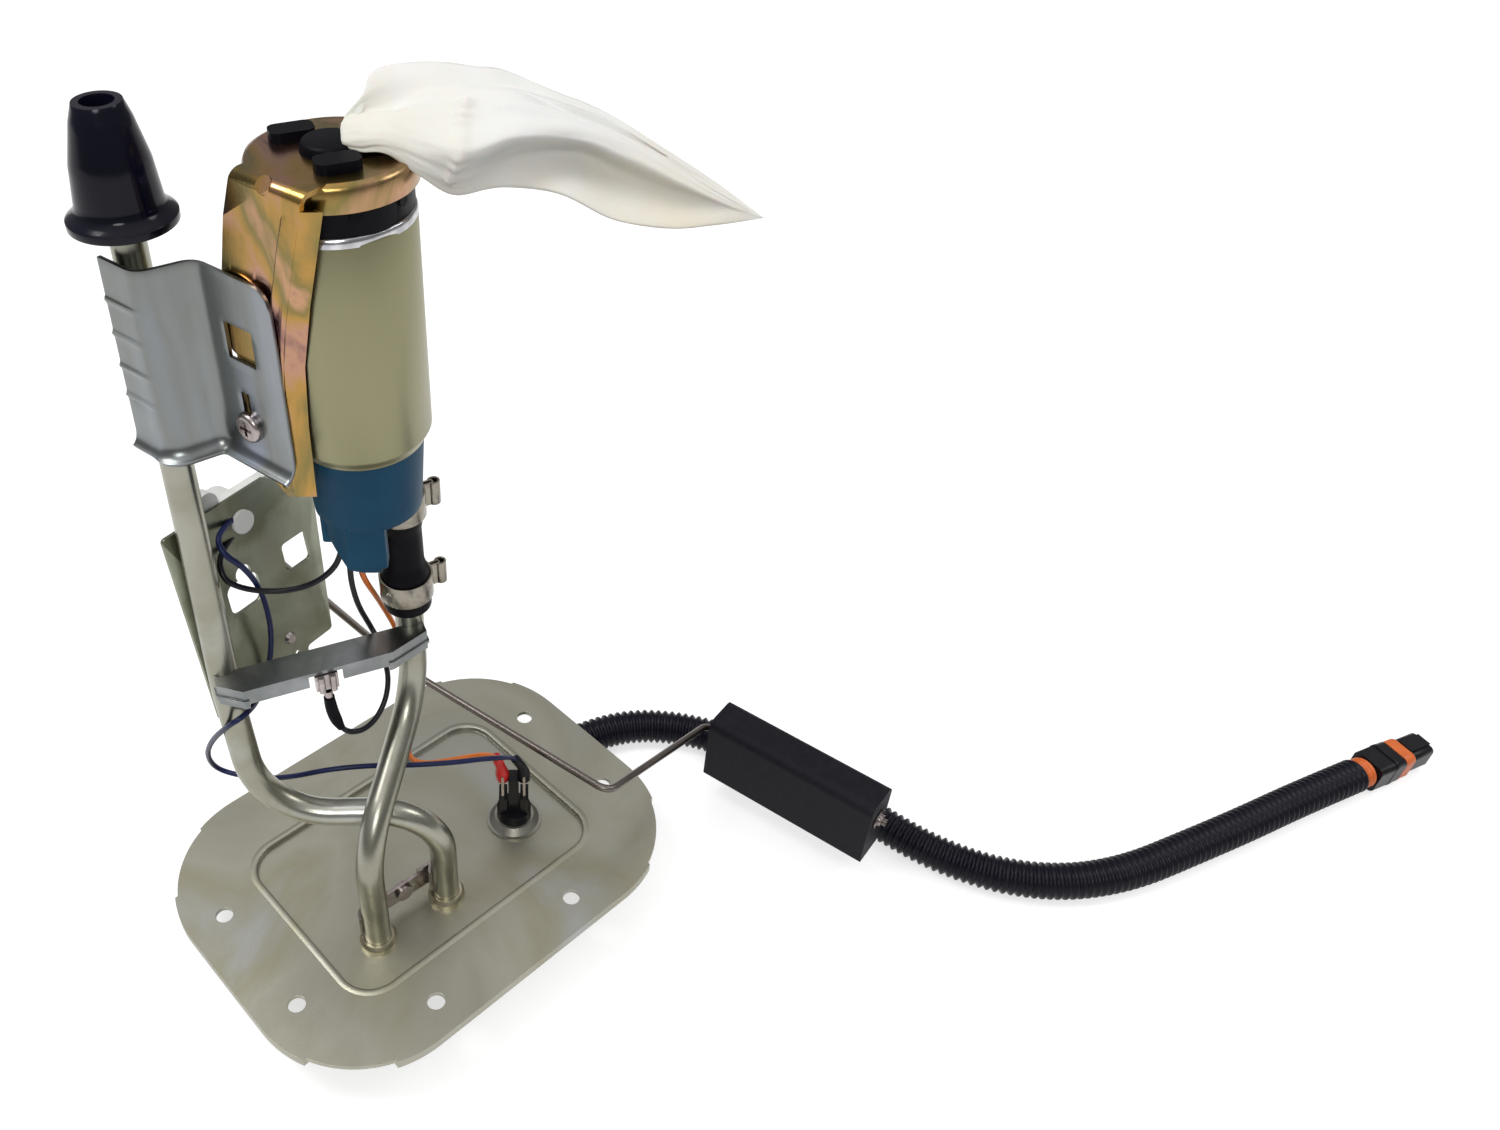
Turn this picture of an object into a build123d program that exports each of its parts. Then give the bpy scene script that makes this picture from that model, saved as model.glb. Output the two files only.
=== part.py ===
from build123d import *
from math import cos, sin, tan, atan2, radians, degrees, hypot, pi
import os

os.makedirs("parts", exist_ok=True)

# Fuel pump module for a tank opening. Lengths in mm, +Z up.
# The origin is the centre of the flange plate on its tank-side face.

# Flange plate
plate_half_x = 72.6
plate_half_y = 55.8
plate_sheet = 1.5
plate_corner_r = 36.3
corner_step = 0.8            # the plain corners stand this far inside the lipped sides
lip_depth = 3.2
lip_end_x = 49.7             # the lips stop here, short of the corners
lip_end_y = 35.3
panel_half_x = 46.0
panel_half_y = 32.2
panel_depth = 1.6
panel_corner_r = 10.0
screw_hole_r = 2.65
side_hole_x = 60.8
side_hole_y = 19.8
row_hole_y = 45.7
row_outer_x = 30.2
row_inner_x = 22.8

# Fuel tubes
tube_r = 4.0
tube_wall = 0.9
seat_gap = 0.05              # clearance of a brazed or pressed seat
ring_r = 5.6
ring_height = 3.0
supply_foot = (-30.1, -17.5)
return_foot = (-4.9, -18.6)
knee_z = 41.6
knee_r = 24.0
upper_knee_z = 66.0
upper_knee_r = 24.0
run_z = 40.4
run_bend_r = 19.0
riser_bend_r = 23.0
riser_base = (-44.0, 14.7)
riser_ref = (-42.8, 22.5)    # riser axis at riser_ref_z
riser_ref_z = 86.0
riser_lean = (0.0614, 0.1267)
riser_top_z = 227.0
outside_z = -17.0            # pipe centre line below the plate
outside_bend_r = 11.0
outside_end_y = 47.0
bead_r = 5.0
bead_back = 9.0              # bead behind the pipe end

# Crossbar, a bent plate brazed to the front of riser and supply tube
bar_z = 93.2
bar_sheet = 1.2
bar_front = 11.7             # front edge ahead of the tube axes
bar_back = 2.7               # back edge ahead of the tube axes
bar_overhang = 2.8           # past each tube axis
bar_shoulder = 7.1           # the ends slant from here to the front edge
bar_slant_near = 3.4
bar_slant_far = 8.3
bar_lip = 5.0
bar_end_lip = 6.6
bar_rib = 0.5                # ribs pressed into both slanted lips
bar_gap_start = 20.7         # gap in the front lip for the ground terminal
bar_gap_end = 30.0
ground_blade_half = 2.4
terminal_half = 3.1
terminal_height = 5.5
terminal_slot = 0.5          # half the slot that takes the blade
terminal_wall = 0.5
barrel_r = 1.2

# The pump and its brackets stand turned on the plate
group_turn = 10.0

# Pump
pump_u = -1.9
pump_v = 5.1
can_r = 17.0
can_wall = 0.9
can_low_z = 160.0
can_top_z = 217.8
crimp_height = 3.2
rim_turn = 2.6
outlet_du = 9.34
outlet_dv = -0.93
cap_top_r = 15.3
cap_low_r = 13.4
cap_low_z = 140.0
cap_plug_top = 165.0
shroud_low_z = 126.5
shroud_r = 12.6
shroud_turn = 38.5
shroud_flat = 3.4            # flat side, from the pump axis
shroud_foot = 5.0            # the sloped side reaches this at the bottom
nipple_r = 3.9
nipple_bore = 2.9
nipple_low_z = 124.5
shaft_r = 1.6
shaft_low_z = 160.4
shaft_top_z = 206.0
commutator_r = 6.2
commutator_low_z = 167.4
commutator_height = 5.0
core_r = 10.4
core_low_z = 175.0
core_height = 14.0
core_slots = 8
winding_height = 2.6
magnet_in_r = 11.0
magnet_sheet = 4.9
magnet_low_z = 173.0
magnet_height = 18.0
magnet_span = 132.0
impeller_r = 12.4
impeller_low_z = 198.9
impeller_sheet = 3.2
impeller_blades = 30
inlet_ring_z = 193.4
inlet_plate = 3.4
housing_top_z = 213.6
inlet_boss_r = 5.2
boss_rise = 1.6              # inlet boss above the cap disc
running_gap = 0.05
brush_width = 4.0
brush_length = 4.6
spring_wire = 0.45

# Outlet check valve and relief valve, both in the end cap
valve_travel = 2.0
valve_seat_z = 151.0
valve_bore = 3.3
poppet_height = 4.2
relief_du = -6.2
relief_dv = 4.2
relief_ball_r = 1.7
relief_travel = 1.2
relief_seat_z = 157.0

# Hose and clamps
hose_low_z = 98.5
hose_top_z = 139.4
hose_wall = 1.7
barb_r = 4.9
barb_z = 105.0
clamp_width = 7.0
clamp_sheet = 0.6
lower_clamp_z = 106.0
upper_clamp_z = 133.5

# Pump bracket, isolator and cap disc
cap_disc_r = 18.0
cap_disc_top = 230.0
cap_rim_low = 224.1
gold_sheet = 1.2
web_u = -21.2                # outer face of the web at the top bend
web_lean = 0.018             # the web leaves the can by this much per mm of drop
web_low_z = 152.5
web_bend_r = 2.4
isolator_r = 16.6
isolator_wave = 0.5
mouth_r = 6.4                # opening in the cap disc round the inlet
mouth_turn = -25.0
lug_rise = 2.2
screw_v = 17.8
screw_z = 168.2
screw_r = 2.5
screw_head_r = 3.8

# Tube bracket
bracket_sheet = 1.0
bracket_face_u = -23.6
bracket_low_z = 160.6
bracket_top_z = 206.6
face_v_near = 5.4
face_v_far = 28.4
wing_u = -35.4
wing_v_near = 33.2
wing_v_far = 45.4
bracket_flare = 2.6

# Sender plate and sender
sender_sheet = 1.0
sender_back = 4.6            # plate centre behind the riser axis
pivot_x = 21.2               # pivot from the riser along the plate
pivot_z = 40.4
housing_depth = 3.4
pivot_pin_r = 2.0
hub_r = 6.2
hub_height = 4.4
arm_wire_r = 1.2
arm_reach_u = 37.3
arm_low_z = 26.0
arm_front_v = -45.2
arm_bend_r = 4.0
arm_range = 60.0
arm_tail = 8.5

# Float
float_axis_u = 97.2
float_axis_z = 4.2
float_half_u = 7.0
float_low_z = -12.0
float_top_z = 14.4
float_length = 60.6
float_bore_gap = 0.06

# Vent cone
cone_low_z = 212.0
cone_height = 26.0
cone_flange_r = 12.0
cone_body_r = 9.6
cone_mid_r = 8.6
cone_top_r = 5.2
cone_bore_r = 3.6

# Harness gland and loom
gland_x = 30.1
gland_y = -10.2
gland_hole_r = 7.2
gland_disc_r = 9.0
gland_body_r = 6.9
gland_low_z = -22.0
blade_width = 6.3
blade_sheet = 0.8
loom_r = 6.0
loom_z = -16.0

pieces = {}


def turned(shape):
    """Place a shape drawn in the turned pump frame into the plate frame."""
    return Rot(0, 0, group_turn) * shape


def spot(u, v, z):
    c, s = cos(radians(group_turn)), sin(radians(group_turn))
    return (u * c - v * s, u * s + v * c, z)


def unspot(x, y):
    c, s = cos(radians(group_turn)), sin(radians(group_turn))
    return (x * c + y * s, y * c - x * s)


def disc(radius, low, high, u=0.0, v=0.0):
    return Pos(u, v, low) * extrude(Circle(radius), high - low)


def ring(outer, inner, low, high, u=0.0, v=0.0):
    return Pos(u, v, low) * extrude(Circle(outer) - Circle(inner), high - low)


def slab(u0, u1, v0, v1, z0, z1):
    return Pos((u0 + u1) / 2, (v0 + v1) / 2, (z0 + z1) / 2) * Box(u1 - u0, v1 - v0, z1 - z0)


def turned_profile(points, u=0.0, v=0.0):
    """Revolve an outline of (radius, z) points about a vertical axis."""
    face = Plane.XZ * make_face(Polyline(*points, close=True))
    return Pos(u, v, 0) * revolve(face, Axis.Z)


def pipe(points, radii, outer, inner=0.0):
    path = FilletPolyline(*points, radius=radii)
    section = Circle(outer) - Circle(inner) if inner else Circle(outer)
    return sweep(Plane(origin=path @ 0, z_dir=path % 0) * section, path=path)


def coil(radius, wire, low, high, turns, u=0.0, v=0.0):
    """A compression spring standing on its lower end."""
    pitch = (high - low - 2 * wire) / turns
    path = Helix(pitch=pitch, height=pitch * turns, radius=radius)
    section = Plane(origin=path @ 0, z_dir=path % 0) * RegularPolygon(wire, 6)
    return Pos(u, v, low + wire) * sweep(section, path=path)


# Flange plate

def rounded_plate(half_x, half_y, corner, height):
    return extrude(RectangleRounded(2 * half_x, 2 * half_y, corner), height)


def flange_holes():
    spots = [(sx * side_hole_x, sy * side_hole_y) for sx in (-1, 1) for sy in (-1, 1)]
    spots += [(-row_outer_x, -row_hole_y), (row_inner_x, -row_hole_y)]
    spots += [(row_outer_x, row_hole_y), (-row_inner_x, row_hole_y)]
    return spots


def flange_plate():
    inside = corner_step
    plain = Pos(0, 0, -plate_sheet) * rounded_plate(
        plate_half_x - inside, plate_half_y - inside, plate_corner_r - inside, plate_sheet)
    outer = Pos(0, 0, -lip_depth) * rounded_plate(
        plate_half_x, plate_half_y, plate_corner_r, lip_depth)
    core = Pos(0, 0, -lip_depth) * rounded_plate(
        plate_half_x - plate_sheet, plate_half_y - plate_sheet, plate_corner_r - plate_sheet, lip_depth)
    lip = outer - core
    for sx in (-1, 1):
        for sy in (-1, 1):
            width = plate_half_x - lip_end_x + 1
            depth = plate_half_y - lip_end_y + 1
            lip -= Pos(sx * (lip_end_x + width / 2), sy * (lip_end_y + depth / 2), 0) * Box(
                width, depth, 4 * lip_depth)
    body = plain + lip
    dish = Pos(0, 0, -panel_depth - plate_sheet) * rounded_plate(
        panel_half_x + plate_sheet, panel_half_y + plate_sheet, panel_corner_r + plate_sheet,
        panel_depth + plate_sheet)
    hollow = Pos(0, 0, -panel_depth) * rounded_plate(
        panel_half_x, panel_half_y, panel_corner_r, panel_depth)
    body = (body + dish) - hollow
    for x, y in flange_holes():
        body -= disc(screw_hole_r, -2 * lip_depth, 1, x, y)
    for x, y in (supply_foot, return_foot):
        body -= disc(tube_r + seat_gap, -2 * lip_depth, 1, x, y)
    body -= disc(gland_hole_r, -2 * lip_depth, 1, gland_x, gland_y)
    return body


# Fuel tubes

def outlet_spot(z):
    return spot(pump_u + outlet_du, pump_v + outlet_dv, z)


def riser_spot(z):
    rise = z - riser_ref_z
    return (riser_ref[0] + riser_lean[0] * rise, riser_ref[1] + riser_lean[1] * rise, z)


def bead(foot):
    """Rolled bead near the open end of a pipe below the plate, for a quick connector."""
    half = 0.9
    outline = [(tube_r - tube_wall / 2, -half), (tube_r, -half), (bead_r, -half / 3),
               (bead_r, half / 3), (tube_r, half), (tube_r - tube_wall / 2, half)]
    face = Plane.XZ * make_face(Polyline(*outline, close=True))
    return Pos(foot[0], outside_end_y - bead_back, outside_z) * Rot(-90, 0, 0) * revolve(face, Axis.Z)


def supply_tube():
    x, y = supply_foot
    top = outlet_spot(hose_low_z + 2 * (barb_z - hose_low_z) + clamp_width)
    points = [(x, outside_end_y, outside_z), (x, y, outside_z), (x, y, knee_z),
              outlet_spot(upper_knee_z), top]
    tube = pipe(points, [outside_bend_r, knee_r, upper_knee_r], tube_r, tube_r - tube_wall)
    barb = turned_profile([(tube_r - tube_wall / 2, barb_z - 3), (tube_r, barb_z - 3), (barb_r, barb_z - 0.6),
                           (barb_r, barb_z + 0.2), (tube_r, barb_z + 3.4),
                           (tube_r - tube_wall / 2, barb_z + 3.4)])
    barb = Pos(*outlet_spot(0)) * barb
    return tube + barb + bead(supply_foot)


def return_route(top_z):
    x, y = return_foot
    points = [(x, outside_end_y, outside_z), (x, y, outside_z), (x, y, run_z),
              (riser_base[0], riser_base[1], run_z), riser_spot(riser_ref_z), riser_spot(top_z)]
    return points, [outside_bend_r, run_bend_r, riser_bend_r, 120.0]


def return_tube():
    points, radii = return_route(riser_top_z)
    return pipe(points, radii, tube_r, tube_r - tube_wall) + bead(return_foot)


def riser_seat(top_z):
    """The space that the riser and its brazed seat take from the pieces round it."""
    points, radii = return_route(top_z)
    return pipe(points[2:], radii[2:], tube_r + seat_gap)


def braze_rings():
    """Brazed collars where both tubes leave the plate."""
    low = -panel_depth
    outline = [(tube_r + seat_gap, low), (ring_r, low), (ring_r, low + ring_height * 0.55),
               (ring_r - 0.7, low + ring_height), (tube_r + seat_gap, low + ring_height)]
    collar = turned_profile(outline)
    rings = Part() + [Pos(x, y, 0) * collar for x, y in (supply_foot, return_foot)]
    return rings


def tie_direction():
    dx = return_foot[0] - supply_foot[0]
    dy = return_foot[1] - supply_foot[1]
    return dx, dy, hypot(dx, dy), degrees(atan2(dy, dx))


tie_z = 8.0
tie_height = 9.0
tie_sheet = 1.0
tie_wrap = 7.0


def tube_tie_strap():
    """Flat strap behind both tubes, with a cradle round each of them."""
    dx, dy, length, angle = tie_direction()
    reach = tube_r + seat_gap
    strap = slab(0, length, reach, reach + tie_sheet, 0, tie_height)
    for at in (0, length):
        cradle = ring(reach + tie_sheet, reach, 0, tie_height, at, 0)
        cradle -= slab(at - 20, at + 20, -20, 1.0, -1, tie_height + 1)
        strap += cradle
    strap -= slab(tie_wrap, length - tie_wrap, 0, 20, tie_height * 0.8, tie_height + 1)
    strap -= Pos(length / 2, 0, tie_height * 0.4) * Rot(90, 0, 0) * Cylinder(1.6 + seat_gap, 40)
    low = tie_z - tie_height / 2
    return Pos(supply_foot[0], supply_foot[1], low) * Rot(0, 0, angle) * strap


def tie_rivet():
    dx, dy, length, angle = tie_direction()
    reach = tube_r + seat_gap
    shank = Pos(length / 2, reach + tie_sheet / 2, tie_height * 0.4) * Rot(90, 0, 0) * Cylinder(
        1.6, tie_sheet + 2.2)
    head = Pos(length / 2, reach - 0.6, tie_height * 0.4) * Rot(90, 0, 0) * Cylinder(2.8, 1.1)
    tail = Pos(length / 2, reach + tie_sheet + 0.55, tie_height * 0.4) * Rot(90, 0, 0) * Cylinder(2.4, 1.1)
    low = tie_z - tie_height / 2
    return Pos(supply_foot[0], supply_foot[1], low) * Rot(0, 0, angle) * (shank + head + tail)


# Crossbar

def bar_frame():
    start = riser_spot(bar_z)
    end = outlet_spot(bar_z)
    angle = degrees(atan2(end[1] - start[1], end[0] - start[0]))
    return start, hypot(end[0] - start[0], end[1] - start[1]), angle


def in_bar(shape):
    start, length, angle = bar_frame()
    return Pos(start[0], start[1], 0) * Rot(0, 0, angle) * shape


def bar_outline():
    """The bar seen from above: straight front edge, slanted ends, back edge on both tubes."""
    start, length, angle = bar_frame()
    near, far = -bar_overhang, length + bar_overhang
    corners = [(near, -bar_back), (near, -bar_shoulder), (bar_slant_near, -bar_front),
               (length - bar_slant_far, -bar_front), (far, -bar_shoulder), (far, -bar_back)]
    return make_face(Polyline(*corners, close=True))


def crossbar():
    start, length, angle = bar_frame()
    low = bar_z - bar_end_lip
    outline = bar_outline()
    core = offset(outline, -bar_sheet)
    behind = slab(-20, length + 20, -bar_back - bar_sheet - 0.01, 20, low - 1, bar_z - bar_sheet)
    bar = Pos(0, 0, low) * extrude(outline, bar_end_lip)
    bar -= Pos(0, 0, low - 1) * extrude(core, bar_end_lip - bar_sheet + 1)
    bar -= behind
    straight = (bar_slant_near + bar_sheet, length - bar_slant_far - bar_sheet)
    bar -= slab(*straight, -bar_front - 1, 0, low - 1, bar_z - bar_lip)
    bar -= slab(bar_gap_start, bar_gap_end, -bar_front - 1, 0, low - 1, bar_z - bar_sheet)
    rib_low = low + bar_end_lip / 3
    rib = extrude(offset(outline, bar_rib) - core, 2 * bar_rib)
    rib = Pos(0, 0, rib_low) * rib - behind
    rib -= slab(*straight, -bar_front - 2, 0, low - 1, bar_z + 1)
    bar += rib
    bar -= disc(tube_r + seat_gap, low - 1, bar_z + 1, length, 0)
    at_plate = slab(-60, 80, plate_front() - seat_gap, 60, -60, 60)
    return in_bar(bar) - riser_seat(riser_top_z) - in_sender(at_plate)


def blade_place():
    return (bar_gap_start + bar_gap_end) / 2, -bar_front + bar_sheet / 2


def ground_terminal():
    """Push-on terminal on the blade that hangs from the crossbar's gap."""
    s, w = blade_place()
    top = bar_z - bar_sheet - 0.3
    low = top - terminal_height
    thick = terminal_slot + terminal_wall
    inner = terminal_half - terminal_wall
    shell = slab(s - terminal_half, s + terminal_half, w - thick, w + thick, low, top)
    shell -= slab(s - inner, s + inner, w - terminal_slot, w + terminal_slot, low - 1, top + 1)
    for side in (-1, 1):
        shell += Pos(s + side * terminal_half / 2, w - thick - 0.45, (low + top) / 2) * Cylinder(
            0.9, terminal_height)
    shell += slab(s - barrel_r, s + barrel_r, w + terminal_slot, w + thick, low - 2.4, low)
    barrel = disc(barrel_r, low - 5.2, low - 1.2, s, w) - disc(barrel_r - terminal_wall, low - 6, low, s, w)
    return in_bar(shell + barrel)


def ground_blade():
    s, w = blade_place()
    low = bar_z - bar_sheet - terminal_height
    half = ground_blade_half
    return in_bar(slab(s - half, s + half, w - blade_sheet / 2, w + blade_sheet / 2, low, bar_z - bar_sheet))


# Sender plate, fixed to the riser's back

def sender_frame():
    u, v = unspot(riser_ref[0], riser_ref[1])
    lean_u, lean_v = unspot(riser_lean[0], riser_lean[1])
    tilt = degrees(atan2(lean_v, 1.0))
    return u, v, tilt, lean_u


def plate_front():
    return sender_back - sender_sheet / 2


def in_sender(shape):
    """Local frame on the riser: X along the plate, Y to its back, Z up the leaning plate."""
    u, v, tilt, lean_u = sender_frame()
    return turned(Pos(u, v, riser_ref_z) * Rot(-tilt, 0, 0) * shape)


def sender_point(x, y, z):
    u, v, tilt, lean_u = sender_frame()
    t = radians(tilt)
    return (u + x, v + y * cos(t) + z * sin(t), riser_ref_z - y * sin(t) + z * cos(t))


plate_left = -2.4
plate_low = -13.0
plate_step = -10.2
plate_high = 48.4
plate_right = 45.6
plate_waist = 41.2
plate_tail = 31.4
shoulder_x = 31.0
shoulder_z = 36.6
window_x = 35.4
window_z = 21.4
window_width = 8.6
window_height = 9.4
rivet_x = 26.3
rivet_z = -3.4
rivet_r = 1.3
rivet_head = 1.9
housing_width = 22.0
housing_height = 17.0


def sender_outline():
    points = [(plate_left, plate_low), (plate_tail, plate_low), (plate_tail, plate_step), (plate_waist, plate_step),
              (plate_right, shoulder_z), (shoulder_x, plate_high), (plate_left, plate_high)]
    face = make_face(Polyline(*points, close=True))
    return fillet(face.vertices(), 1.2)


def sender_plate():
    outline = Plane.XZ * sender_outline()
    plate = extrude(outline, sender_sheet / 2, both=True)
    window = RectangleRounded(window_width, window_height, 1.2)
    key = Pos(16.2, 19.6) * RectangleRounded(10.6, 9.6, 2.6) + Pos(17.4, 25.6) * Circle(2.5)
    cuts = [Pos(window_x, window_z) * window, key, Pos(27.6, -10.0) * Circle(0.9),
            Pos(rivet_x, rivet_z) * Circle(rivet_r + seat_gap)]
    for cut in cuts:
        plate -= extrude(Plane.XZ * cut, 5, both=True)
    plate -= Pos(pivot_x, 0, pivot_z) * Rot(90, 0, 0) * Cylinder(3.4, 10)
    return in_sender(Pos(0, sender_back, 0) * plate)


def sender_rivet():
    shank = Pos(rivet_x, sender_back + 1.0, rivet_z) * Rot(90, 0, 0) * Cylinder(rivet_r, sender_sheet + 3.0)
    head = Pos(rivet_x, plate_front() - 0.5, rivet_z) * Rot(90, 0, 0) * Cone(rivet_head, rivet_head - 0.5, 0.9)
    return in_sender(shank + head)


def housing_face():
    return sender_back + sender_sheet / 2 + 0.05


def sender_housing():
    """Moulded base of the level sender behind the plate, with the pivot post."""
    near = housing_face()
    base = RectangleRounded(housing_width, housing_height, 3.0)
    body = extrude(Plane.XZ * (Pos(pivot_x + 5.0, pivot_z - 1.0) * base), -housing_depth)
    body = Pos(0, near, 0) * body
    snap = Pos(pivot_x, near - 1.0, pivot_z) * Rot(90, 0, 0) * Cylinder(3.3, 2.2)
    ear = Pos(pivot_x - 7.6, near + housing_depth / 2, pivot_z + 9.2) * Rot(90, 0, 0) * Cylinder(
        3.2, housing_depth)
    ear += slab(pivot_x - 10.8, pivot_x - 4.4, near, near + housing_depth, pivot_z + 2.0, pivot_z + 9.2)
    post_top = hub_near() + hub_height - arm_wire_r - 0.4
    post = Pos(pivot_x, (near + post_top) / 2, pivot_z) * Rot(90, 0, 0) * Cylinder(
        pivot_pin_r, post_top - near)
    stem = slab(rivet_x - 3.0, rivet_x + 3.0, near, near + 2.2, rivet_z - 4.0, pivot_z - 6.0)
    foot_hole = Pos(rivet_x, near, rivet_z) * Rot(90, 0, 0) * Cylinder(rivet_r + seat_gap, 9)
    return in_sender(body + snap + ear + post + stem - foot_hole)


def card_face():
    return housing_face() + housing_depth + 0.02


card_in_r = 8.2
card_out_r = 11.6
card_sheet = 0.8


def sender_card():
    """Resistor card swept by the wiper."""
    sector = CenterArc((0, 0), card_out_r, -78, 86)
    inner = CenterArc((0, 0), card_in_r, -78, 86)
    face = make_face([sector, inner, Line(sector @ 0, inner @ 0), Line(sector @ 1, inner @ 1)])
    card = extrude(Plane.XZ * face, -card_sheet)
    return in_sender(Pos(pivot_x, card_face(), pivot_z) * card)


# Float arm: hub, wiper and wire turn together on the sender's post

def hub_near():
    return card_face() + card_sheet + 0.5


def wire_depth():
    return hub_near() + hub_height


def arm_foot():
    """Where the long wire leg meets the leg that runs forward, in the sender's frame."""
    u, v, tilt, lean_u = sender_frame()
    t = radians(tilt)
    x = arm_reach_u - u
    z = (arm_low_z - riser_ref_z + wire_depth() * sin(t)) / cos(t)
    return x, z


def arm_path():
    x, z = arm_foot()
    reach = hypot(x - pivot_x, z - pivot_z)
    back = arm_tail / reach
    start = sender_point(pivot_x - (x - pivot_x) * back, wire_depth(), pivot_z - (z - pivot_z) * back)
    return [start, sender_point(x, wire_depth(), z), (arm_reach_u, arm_front_v, arm_low_z),
            (float_axis_u, arm_front_v, float_axis_z),
            (float_axis_u, float_near() - float_length - 3.0, float_axis_z)]


def float_near():
    return arm_front_v - arm_bend_r - 0.4


def float_arm():
    return turned(pipe(arm_path(), [arm_bend_r] * 3, arm_wire_r))


def wiper_hub():
    """Hub clipped over the wire, with the contact arm that sweeps the card."""
    x, z = arm_foot()
    slope = degrees(atan2(z - pivot_z, x - pivot_x))
    hub = ring(hub_r, pivot_pin_r + running_gap, 0, hub_height + arm_wire_r)
    groove = Pos(0, 0, hub_height) * Rot(0, 90, 0) * Cylinder(arm_wire_r + seat_gap, 60)
    slot = Pos(0, 0, hub_height + 5) * Box(60, 2 * (arm_wire_r + seat_gap), 10)
    hub = hub - groove - slot
    wiper = slab(hub_r - 1.0, card_out_r - 1.2, -1.2, 1.2, -0.35, 0.4)
    hub = Rot(0, 0, -slope) * hub + Rot(0, 0, 62) * wiper
    return in_sender(Pos(pivot_x, hub_near(), pivot_z) * Rot(-90, 0, 0) * hub)


def float_body():
    """Closed-cell float, sharp at the bottom and rounded along its top."""
    half = float_half_u
    low, high = float_low_z, float_top_z
    outline = Polyline((-half, low), (half, low), (half, high), (-half, high), close=True)
    face = make_face(outline)
    top = face.vertices().sort_by(Axis.Y)[-2:]
    bottom = face.vertices().sort_by(Axis.Y)[:2]
    face = fillet(top, 3.2)
    face = fillet(face.vertices().sort_by(Axis.Y)[:2], 1.0)
    block = extrude(Plane.XZ * face, float_length)
    block = Pos(float_axis_u, float_near(), 0) * block
    bore = Pos(float_axis_u, 0, float_axis_z) * Rot(90, 0, 0) * Cylinder(arm_wire_r + float_bore_gap, 400)
    return turned(block - bore)


def float_push_nut():
    far = float_near() - float_length - 0.3
    nut = ring(3.6, arm_wire_r + seat_gap, 0, 0.6) + ring(2.0, arm_wire_r + seat_gap, 0.6, 1.4)
    return turned(Pos(float_axis_u, far, float_axis_z) * Rot(90, 0, 0) * nut)


# Pump

def pump_can():
    """Deep-drawn can with its lower crimp and rolled top rim."""
    inner = can_r - can_wall
    low_in = cap_top_r - 0.2
    outline = [(can_r - 1.7, can_low_z), (can_r, can_low_z + crimp_height),
               (can_r, can_top_z - 1.2), (can_r - 0.5, can_top_z), (can_r - rim_turn, can_top_z),
               (can_r - rim_turn, can_top_z - can_wall), (inner, can_top_z - can_wall),
               (inner, can_low_z + crimp_height), (low_in + 0.25, can_low_z)]
    return turned(turned_profile(outline, pump_u, pump_v))


def pump_end_cap():
    """Moulded end cap: bearing seat, brush guides, terminal shroud and outlet nipple."""
    u, v = pump_u, pump_v
    ou, ov = u + outlet_du, v + outlet_dv
    plug_r = can_r - can_wall - seat_gap
    outline = [(0, cap_low_z), (cap_low_r, cap_low_z), (cap_top_r - 0.35, can_low_z),
               (cap_top_r - 0.35, can_low_z + 0.4), (plug_r - 1.0, can_low_z + crimp_height - 0.6),
               (plug_r, can_low_z + crimp_height + 0.4), (plug_r, cap_plug_top), (0, cap_plug_top)]
    cap = turned_profile(outline, u, v)
    skirt = ring(plug_r, plug_r - 1.2, cap_plug_top, magnet_low_z - 0.3, u, v)
    guide = disc(3.0, cap_plug_top, cap_plug_top + 1.5, u, v)
    cap = cap + skirt + guide
    cap -= disc(shaft_r + 1.9 + seat_gap, can_low_z - 1.5, cap_plug_top + 3, u, v)
    shroud = disc(shroud_r, shroud_low_z, cap_low_z)
    shroud -= slab(-40, 40, -40, -shroud_flat, shroud_low_z - 1, cap_low_z + 1)
    slope = Plane.YZ * make_face(Polyline((shroud_foot, shroud_low_z - 1), (shroud_foot, shroud_low_z),
                                          (shroud_r, cap_low_z), (40, cap_low_z), (40, shroud_low_z - 1),
                                          close=True))
    shroud -= Pos(-40, 0, 0) * extrude(slope, 80)
    shroud = Pos(u, v, 0) * Rot(0, 0, shroud_turn) * shroud
    shroud -= disc(upper_clamp_r() + clamp_sheet + 0.9, shroud_low_z - 1, cap_low_z, ou, ov)
    nipple = turned_profile([(0, nipple_low_z), (nipple_r - 0.6, nipple_low_z), (nipple_r, nipple_low_z + 1.6),
                             (nipple_r, upper_clamp_z - 2.6), (barb_r - 0.2, upper_clamp_z),
                             (nipple_r, upper_clamp_z + 3.4), (nipple_r, cap_low_z), (0, cap_low_z)], ou, ov)
    cap = cap + shroud + nipple
    cap -= disc(nipple_bore, nipple_low_z - 1, valve_seat_z, ou, ov)
    cap -= disc(valve_bore, valve_seat_z - 9.5, valve_seat_z, ou, ov)
    cap -= disc(1.9, valve_seat_z - 1, cap_plug_top + 1, ou, ov)
    ru, rv = u + relief_du, v + relief_dv
    cap -= disc(relief_ball_r + 0.08, relief_seat_z - 9.0, relief_seat_z, ru, rv)
    cap -= disc(0.9, relief_seat_z - 1, cap_plug_top + 1, ru, rv)
    cap -= disc(0.8, cap_low_z - 1, relief_seat_z - 8.0, ru, rv)
    return turned(cap)


def lower_bearing():
    seat = shaft_r + 1.9
    bush = ring(seat, shaft_r + running_gap, can_low_z - 1.4, cap_plug_top - 0.4, pump_u, pump_v)
    return turned(bush)


def upper_bearing():
    top = housing_top_z - 6.0
    low = impeller_low_z + impeller_sheet + 1.0
    bush = ring(shaft_r + 1.9, shaft_r + running_gap, low, top, pump_u, pump_v)
    return turned(bush)


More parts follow.
